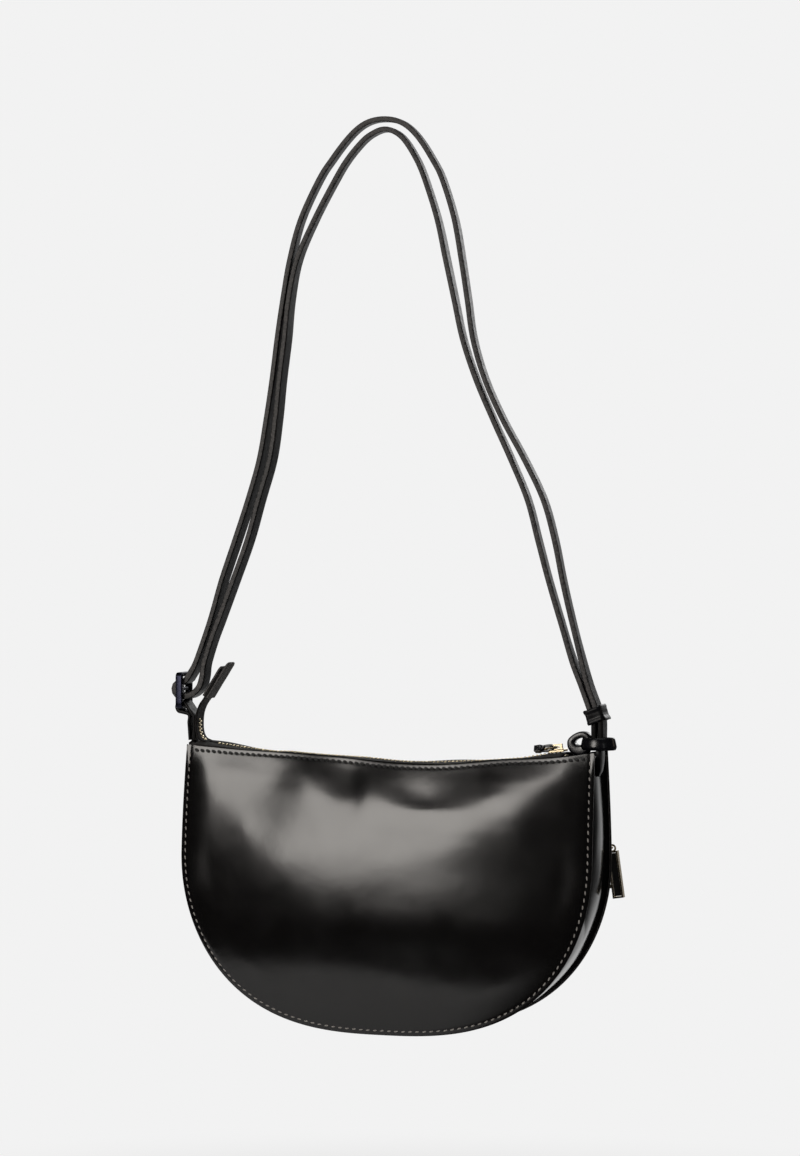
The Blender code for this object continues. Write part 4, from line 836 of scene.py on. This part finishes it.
strapWork = sweepWork(strapRoute, strapCut, twist=strapTwist)
# Edge faces get the grey edge paint only high on the strap. Lower down, in and below the keeper, they keep the black
# strap leather as painted shade on the strands between the keeper and the knot.
for face in strapWork.faces:
    if abs(face.normal.y) > 0.75 and face.calc_center_median().z > strap["edgeShadeRise"]:
        face.material_index = 1
toObject("strapLeather", strapWork, [strapLeather, edgePaint], "pivot", "strap")
print("strap hung")

keeper = dict(
    rise=0.0177, length=0.0086, wall=0.0012, clearance=0.0006, corner=0.0016, lip=0.0005, crease=0.0003, droop=0.0005,
)


# A collar of soft leather: drawn in at its waist, with a thick lip at each end.
def keeperWork():
    half = keeper["clearance"] + keeper["wall"] / 2
    corner = keeper["corner"]
    flatX = strap["spacing"] / 2 + strap["wall"] / 2 + half - corner
    flatY = strap["width"] / 2 + half - corner
    turned = Matrix.Rotation(-atan(strap["lean"]), 4, "Y")
    start = upright(leanX(strap["tongueX"], keeper["rise"]), keeper["rise"])

    def place(i, j):
        quarter, step = divmod(i % 48, 12)
        signX, signY = (1 if quarter in (0, 3) else -1), (1 if quarter in (0, 1) else -1)
        angle = pi / 2 * (quarter + step / 11)
        c, s, share = cos(angle), sin(angle), 2 * j / 20 - 1
        puff = keeper["lip"] * ramp(abs(share), 0.35, 0.5) * (1 - 0.5 * ramp(abs(share), 0.88, 0.12))
        puff += corner + keeper["crease"] * max(0, rumple(c * 2.2, s * 2.2, share * 1.6))
        droop = keeper["droop"] * rumple(c * 1.4, s * 1.4, 9.0) * share
        along = keeper["length"] * j / 20 + droop
        return start + turned @ Vector((signX * flatX + puff * c, signY * flatY + puff * s, along))

    return sheetWork(48, 20, place)


sheetPiece("keeperLeather", keeperWork(), [keeperLeather, edgePaint], "keeper", "strap_keeper", keeper["wall"], 0.0003)

knot = dict(
    wrapX=0.1279, rise=0.0045, wrapHalf=(0.0097, 0.0071), wrapHeight=0.0073, wrapWall=0.0018, wrapFlare=0.0009,
    loopX=0.1166, loopHalf=(0.0075, 0.0074), holeRise=0.0058, holeHalf=(0.003, 0.0021), loopWidth=0.007,
    loopLean=0.45,
)


def ovalRoute(x, rise, halves, up, count):
    turns = [tau * i / count for i in range(count)]
    return [upright(x + halves[0] * cos(t), rise) + Vector(up) * halves[1] * sin(t) for t in turns]


# The band of the knot: its face leans back above its lower third, where it stands out most.
def wrapCut(share, here):
    half = knot["wrapHeight"] / 2
    pairs = softCut(knot["wrapWall"] / 2, half, 0.36, 28)
    return [(away + knot["wrapFlare"] * (0.5 - abs(side / half + 0.4)) * (away > 0), side) for away, side in pairs]


wrapRoute = ovalRoute(knot["wrapX"], knot["rise"], knot["wrapHalf"], (0, 1, 0), 72)
wrap = sweepWork(wrapRoute, wrapCut, across=(0, 0, 1), closed=True)
toObject("knotWrapLeather", wrap, [knotLeather], "bag", "knot_wrap")

# The loop beside it, a thick ring round a small hole that lies above its middle.
loopOuter = ovalRoute(knot["loopX"], knot["rise"], knot["loopHalf"], (0, 0, 1), 64)
loopInner = ovalRoute(knot["loopX"], knot["holeRise"], knot["holeHalf"], (0, 0, 1), 64)


def loopCut(share, here):
    i = round(share * 64)
    return softCut((loopOuter[i] - loopInner[i]).length / 2, knot["loopWidth"] / 2, 0.45, 24)


loopRoute = [(a + b) / 2 for a, b in zip(loopOuter, loopInner)]
for spot in loopRoute:
    spot.x += knot["loopLean"] * max(0, spot.z - knot["holeRise"])
toObject("knotLoopLeather", sweepWork(loopRoute, loopCut, closed=True), [knotLeather], "bag", "knot_loop")

# A tongue is sewn on the gusset below, and thin above. Sewn: rise, how much it is drawn in, half width.
tongue = dict(
    seat=0.1276, thinHalf=0.0005, edge=0.00025, thin=((0.0015, 0.0055), (0.015, 0.0028), (0.0165, 0.0013)),
    sewn=((-0.015, 0.0018, 0.0016), (-0.012, 0.0006, 0.0034), (-0.006, 0, 0.0054), (0.0005, 0, 0.006)),
)


def tonguePiece(name, side, x, leather, node):
    outer = x + strap["spacing"] / 2
    stations = [(rise, tongue["seat"], outer - drawn, half) for rise, drawn, half in tongue["sewn"]]
    stations += [(rise, x - tongue["thinHalf"], x + tongue["thinHalf"], half) for rise, half in tongue["thin"]]
    work = bmesh.new()
    rings = []
    for rise, low, high, half in stations:
        corners = [(low, -half), (high, -half), (high, half), (low, half)]
        ring = [work.verts.new((side * away, y, rise)) for away, y in corners]
        rings.append([work.edges.new((ring[i], ring[(i + 1) % 4])) for i in range(4)])
    for low, high in zip(rings, rings[1:]):
        bmesh.ops.bridge_loops(work, edges=low + high)
    bmesh.ops.holes_fill(work, edges=rings[0] + rings[-1], sides=0)
    bmesh.ops.recalc_face_normals(work, faces=work.faces)
    roundEdges(work, tongue["edge"])
    toObject(name, work, [leather], "bag", node)


tonguePiece("rightTongueLeather", 1, 0.1282, keeperLeather, "right_tab_tongue")
tonguePiece("leftTongueLeather", -1, 0.1302, strapLeather, "left_tab_tongue")

# The tab's way round the buckle's lower bar, as shares of the buckle's height from the bar's middle.
tabLoop = (
    (0.235, -0.215), (0.065, -0.152), (-0.064, -0.124), (-0.118, -0.015), (-0.086, 0.092), (0, 0.138), (0.098, 0.1),
    (0.215, -0.05),
)
tabTurn = scaled(tabLoop, tall, tall, (buckleAt["x"], buckleAt["bottom"] + buckleAt["bar"] / 2))
tabTurn = curve(flat([(-0.1325, 0.013)]) + tabTurn + flat([(-0.129, 0.0165)]), 8)
tabRoute = evenRoute(flat([(-0.1317, 0.002)]) + tabTurn + flat([(-0.1288, 0.002)]), 0.0008)


# The tab is skived thin where it goes down over the tongue.
def tabCut(share, here):
    return softCut(0.0008 + 0.0003 * ramp(here.z, 0.014, 0.005), strap["width"] / 2, 0.22, 24)


toObject("leftTabLeather", sweepWork(tabRoute, tabCut), [strapLeather], "pivot", "left_tab")

tail = dict(hinge=(-0.119, 0.0006), width=0.013, lean=radians(32.5), entry=0.019, wall=0.0008)
flap = dict(half=0.00625, wall=0.0013, start=0.0008, gap=0.0003, round=0.0022, narrow=0.32, curl=0.0007)
tailRise = ((-0.15, 0.02), (-0.47, 0.17), (-0.62, 0.48), (-0.65, 0.95), (-0.6, 1.4), (-0.44, 1.8), (-0.22, 2.11))
tailPoints = scaled(tailRise, tail["width"], tail["width"], tail["hinge"])
tailAlong = upright(sin(tail["lean"]), cos(tail["lean"]))
tailFold = tailPoints[-1]
tailPoints += [tailFold + tailAlong * tail["entry"] * share for share in (0.5, 1)]
tailRoute = evenRoute(curve(tailPoints, 6), 0.0008)


def tailPlace(i, j):
    return tailRoute[i] + Vector((0, tail["width"] * (j / 6 - 0.5), 0))


tailTape = sheetWork(len(tailRoute) - 1, 6, tailPlace, (lengthOf(tailRoute), tail["width"]))
sheetPiece("tailTape", tailTape, [zipTape], "zip_tail", "zip_tail_tape", tail["wall"])


def tailTab(name, side, length, leather, node):
    out = upright(tailAlong.z, -tailAlong.x) * side
    start = tailFold + tailAlong * flap["start"] + out * (tail["wall"] / 2 + flap["gap"] + flap["wall"] / 2)

    def place(i, j):
        along, share = length * i / 28, 2 * j / 8 - 1
        close = max(0, along - (length - flap["round"])) / flap["round"]
        half = flap["half"] * (1 - flap["narrow"] * close * close)
        curl = flap["curl"] * rumple(along * 90, share, 2.0 + side) * (along / length)
        return start + tailAlong * along + Vector((0, half * share, 0)) + out * max(0, curl)

    work = sheetWork(28, 8, place, (length, 2 * flap["half"]))
    sheetPiece(name, work, [leather, edgePaint], "zip_tail", node, flap["wall"], 0.0003)


tailTab("tailTabUpper", -1, 0.0215, strapLeather, "zip_tail_tab_upper")
tailTab("tailTabLower", 1, 0.0262, suede, "zip_tail_tab_lower")
places = []
teethPath = evenRoute(tailRoute, zips["pitch"] / 2)
for i in range(2, 15):
    along = (teethPath[i + 1] - teethPath[i - 1]).normalized()
    sunk = teethPath[i] - upright(along.z, -along.x) * 0.0001
    places.append(axesAt(sunk, along, Vector((0, 1 if i % 2 else -1, 0))))
repeatShape("tailTeeth", toothShape, places, paleGold, "zip_tail", "zip_tail_teeth")
print("tail made")

# The buckle is cast: a frame with rounded corners and a centre bar.
buckle = dict(
    width=0.0185, side=0.00275, thick=0.0044, barThick=0.0028, centre=0.0025, centreThick=0.0024, lowerSlot=0.0082,
)
sideY, barHalf = (buckle["width"] - buckle["side"]) / 2, buckleAt["bar"] / 2
middleZ, halfZ = buckleAt["bottom"] + tall / 2, tall / 2 - barHalf
frameRoute = [Vector((buckleAt["x"], sideY * a, middleZ + halfZ * b)) for a, b in softCut(1, 1, 0.16, 56)]


def buckleCut(share, here):
    broad = (buckle["thick"] - buckle["barThick"]) * ramp(abs(here.y) / sideY, 0.72, 0.2)
    return softCut(buckle["side"] / 2, (buckle["barThick"] + broad) / 2, 0.3, 16)


def centreCut(share, here):
    return softCut(buckle["centre"] / 2, buckle["centreThick"] / 2, 0.6, 16)


buckleWork = sweepWork(frameRoute, buckleCut, across=(1, 0, 0), closed=True)
centreZ = buckleAt["bottom"] + buckleAt["bar"] + buckle["lowerSlot"] + buckle["centre"] / 2
centreRoute = [Vector((buckleAt["x"], sideY * a / 4, centreZ)) for a in range(-4, 5)]
centreBar = toMesh("centreBar", sweepWork(centreRoute, centreCut, across=(1, 0, 0)))
buckleWork.from_mesh(centreBar)
bpy.data.meshes.remove(centreBar)
toObject("buckleMetal", buckleWork, [blackNickel], "strap_hang", "buckle_frame")

# The pull's leather, folded round the far end of the wire link, in its own hinge's frame.
pull = dict(
    hinge=(0.102604, 0.001994), tilt=0.1235, link=0.0072, eye=0.0044, radius=0.0016, length=0.01, width=0.005,
    tip=0.004, wall=0.0015, roll=0.95, rollOver=0.004, droop=-0.03, stitchIn=0.0022, stitchY=0.001,
    stitch=(0.0014, 0.0006, 0.0005),
)
pullTurn = Matrix.Translation(upright(*pull["hinge"])) @ Matrix.Rotation(-pull["tilt"], 4, "Y")


def pullCut(share, here):
    taper = (pull["width"] - pull["tip"]) * ramp(abs(2 * share - 1), 0.55, 0.45)
    return softCut(pull["wall"] / 2, (pull["width"] - taper) / 2, 0.3, 20)


# Past the link the leather droops, and rolls over to show its face.
def pullBend(x):
    past = max(0, -x - pull["link"])
    roll = Matrix.Rotation(pull["roll"] * smooth(past / pull["rollOver"]), 4, "X")
    return Matrix.Translation(upright(0, -pull["droop"] * past)) @ roll


def pullAcross(here, along):
    turned = pullTurn.to_3x3() @ pullBend((pullTurn.inverted() @ here).x).to_3x3() @ Vector((0, 1, 0))
    return (turned - along * turned.dot(along)).normalized()


eye, radius, length = pull["eye"], pull["radius"], pull["length"]
eyeAngles = [pi * k / 4 for k in (2, 1, 0, -1, -2)]
eyeTurn = flat([(radius * cos(t) - eye, radius * sin(t)) for t in eyeAngles])
layer = pull["wall"] / 2 + 5e-5
closeAt = (pull["link"] - eye) / length
upper = [upright(-eye - length * share, layer + (radius - layer) * (1 - ramp(share, closeAt, 0.3)))
         for share in (1, 0.85, 0.7, 0.55, 0.4, 0.25, 0.1)]
lower = [upright(p.x + 0.0004, -p.z) for p in reversed(upper)]
pullRoute = [pullTurn @ (pullBend(p.x) @ p) for p in evenRoute(curve(upper + eyeTurn + lower, 6), 0.0005)]
pullWork = sweepWork(pullRoute, pullCut, twist=pullAcross)
toObject("mainPullLeather", pullWork, [knotLeather], "main_pull", "main_pull_leather")
stitchX = pull["stitchIn"] - eye - length
stitchTurn = pullTurn @ pullBend(stitchX)
places = [
    standing(stitchTurn @ Vector((stitchX, y * pull["stitchY"], side * (layer + pull["wall"] / 2))), (0, 1, 0),
             stitchTurn.to_3x3() @ Vector((0, 0, side)))
    for y in (-1, 1) for side in (1, -1)
]
repeatShape("mainPullStitches", stitchShape(*pull["stitch"]), places, glintPaintedThread, "main_pull")

for node in (
    "main_zip_slider", "main_zip_slider_base", "main_pull_link", "front_zip_slider", "front_zip_slider_base",
    "front_pull_link", "front_pull_ring", "front_pull_bar", "front_pull_inlay",
):
    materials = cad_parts[node].data.materials
    materials.clear()
    materials.append(enamel if node == "front_pull_inlay" else paleNickel)

studio = dict(
    background="#f2f2f2", floorColour="#f0f0f0", floorRise=-0.75, floorRadius=0.9, lens=103.5,
    cameraPlace=(0.6407, -1.914, -0.2397), cameraBack=(0.3133, -0.9495, 0.0153),
)
camera = bpy.data.objects.new("camera", bpy.data.cameras.new("camera"))
camera.data.lens = studio["lens"]
camera.data.sensor_width = 36.0
camera.location = studio["cameraPlace"]
camera.rotation_mode = "QUATERNION"
camera.rotation_quaternion = (-Vector(studio["cameraBack"])).to_track_quat("-Z", "Y")
intoScene(camera)
bpy.context.scene.camera = camera


# A softbox seen from the bag: azimuth 0 stands in front of the plain back, and grows towards +X.
def addSoftbox(name, azimuth, elevation, distance, width, height, radiance, colour):
    name += "Softbox"
    light = bpy.data.lights.new(name, "AREA")
    light.shape = "RECTANGLE"
    light.size, light.size_y = width, height
    light.energy = radiance * pi * width * height
    light.color = toLinear(colour)[:3]
    lamp = bpy.data.objects.new(name, light)
    lamp.visible_camera = False
    a, e = radians(azimuth), radians(elevation)
    out = Vector((sin(a) * cos(e), -cos(a) * cos(e), sin(e)))
    lamp.location = upright(0, -0.44) + out * distance
    lamp.rotation_mode = "QUATERNION"
    lamp.rotation_quaternion = out.to_track_quat("Z", "Y")
    intoScene(lamp)


for row in (
    ("key", -18.65, 12.9, 1.7, 0.548, 0.854, 7.8, "#fffaf4"), ("narrow", 32, 4, 1.9, 0.16, 0.8, 1.2, "#ffffff"),
    ("top", 10, 80, 1.8, 0.9, 0.9, 3, "#ffffff"), ("right", 112, 14, 2, 0.3, 1.2, 1.1, "#ffe9d6"),
    ("left", -110, 15, 2, 0.5, 1.2, 1.5, "#ffffff"), ("front", 165, 25, 2, 0.8, 0.8, 3, "#ffffff"),
):
    addSoftbox(*row)


# How much of the pale backdrop a ray gets: all for the camera, and what is behind the bag in reflections.
def backdropShare(tree, ray, behind):
    seen = mathOf(tree, ray.outputs["Is Camera Ray"], ray.outputs["Is Transmission Ray"], "MAXIMUM")
    return mathOf(tree, seen, mathOf(tree, ray.outputs["Is Glossy Ray"], behind), "MAXIMUM")


world = bpy.data.worlds.new("studio")
bpy.context.scene.world = world
world.use_nodes = True
tree = world.node_tree
tree.nodes.clear()
ray = addNode(tree, "LightPath", {})
ahead = {"operation": "DOT_PRODUCT", 1: tuple(-v for v in studio["cameraBack"])}
facing = addNode(tree, "VectorMath", ahead, {0: addNode(tree, "TexCoord", {}).outputs["Generated"]}).outputs["Value"]
pale = backdropShare(tree, ray, rangeOf(tree, facing, 0.74, 0.95, easing="SMOOTHSTEP"))
dim, dark, bright = (
    addNode(tree, "Background", {"Color": toLinear(colour), "Strength": strength})
    for colour, strength in (("#ffffff", 0.3), ("#ffffff", 0.02), (studio["background"], 1))
)
unlit = addNode(tree, "MixShader", {}, {0: ray.outputs["Is Glossy Ray"], 1: dim, 2: dark})
addNode(tree, "OutputWorld", {}, {"Surface": addNode(tree, "MixShader", {}, {0: pale, 1: unlit, 2: bright})})

floorWork = bmesh.new()
bmesh.ops.create_circle(floorWork, cap_ends=True, segments=96, radius=studio["floorRadius"])
bmesh.ops.translate(floorWork, vec=upright(0, studio["floorRise"]), verts=floorWork.verts)
floor = bpy.data.objects.new("floor", toMesh("floor", floorWork))
intoScene(floor)
# Matt pale paper under the bag.
floorPaint, tree, shader = newMaterial("paleFloor", studio["floorColour"], {"Roughness": 0.9})
place, ray = ownPlace(tree), addNode(tree, "LightPath", {})
centred = addNode(tree, "Mapping", {"Location": (0, 0, -studio["floorRise"])}, {"Vector": place})
spread = addNode(tree, "VectorMath", {"operation": "LENGTH"}, {0: centred}).outputs["Value"]
far = rangeOf(tree, spread, 0.3, 0.8, easing="SMOOTHSTEP")
axes = addNode(tree, "SeparateXYZ", {}, {"Vector": place})
# painted dark reflection: for reflected rays only, the floor's colour turns dark grey past x of about 0.05, so the
# leather's lower right corner doesn't mirror the pale floor
paintedReflectionShade = rangeOf(tree, axes.outputs["X"], -0.09, 0.05, easing="SMOOTHSTEP")
darkInReflections = mathOf(tree, ray.outputs["Is Glossy Ray"], paintedReflectionShade)
joinNode(tree, shader, {"Base Color": mixOf(tree, studio["floorColour"], "#202020", darkInReflections)})
behind = rangeOf(tree, axes.outputs["Y"], 0.2, 0.8, easing="SMOOTHSTEP")
amount = mathOf(tree, backdropShare(tree, ray, behind), far)
glow = addNode(tree, "Emission", {"Color": toLinear(studio["background"])})
fading = addNode(tree, "MixShader", {}, {0: amount, 1: shader, 2: glow})
joinNode(tree, tree.nodes["Material Output"], {"Surface": fading})
floor.data.materials.append(floorPaint)
bpy.context.scene.view_settings.view_transform = "Standard"
print("studio lit")
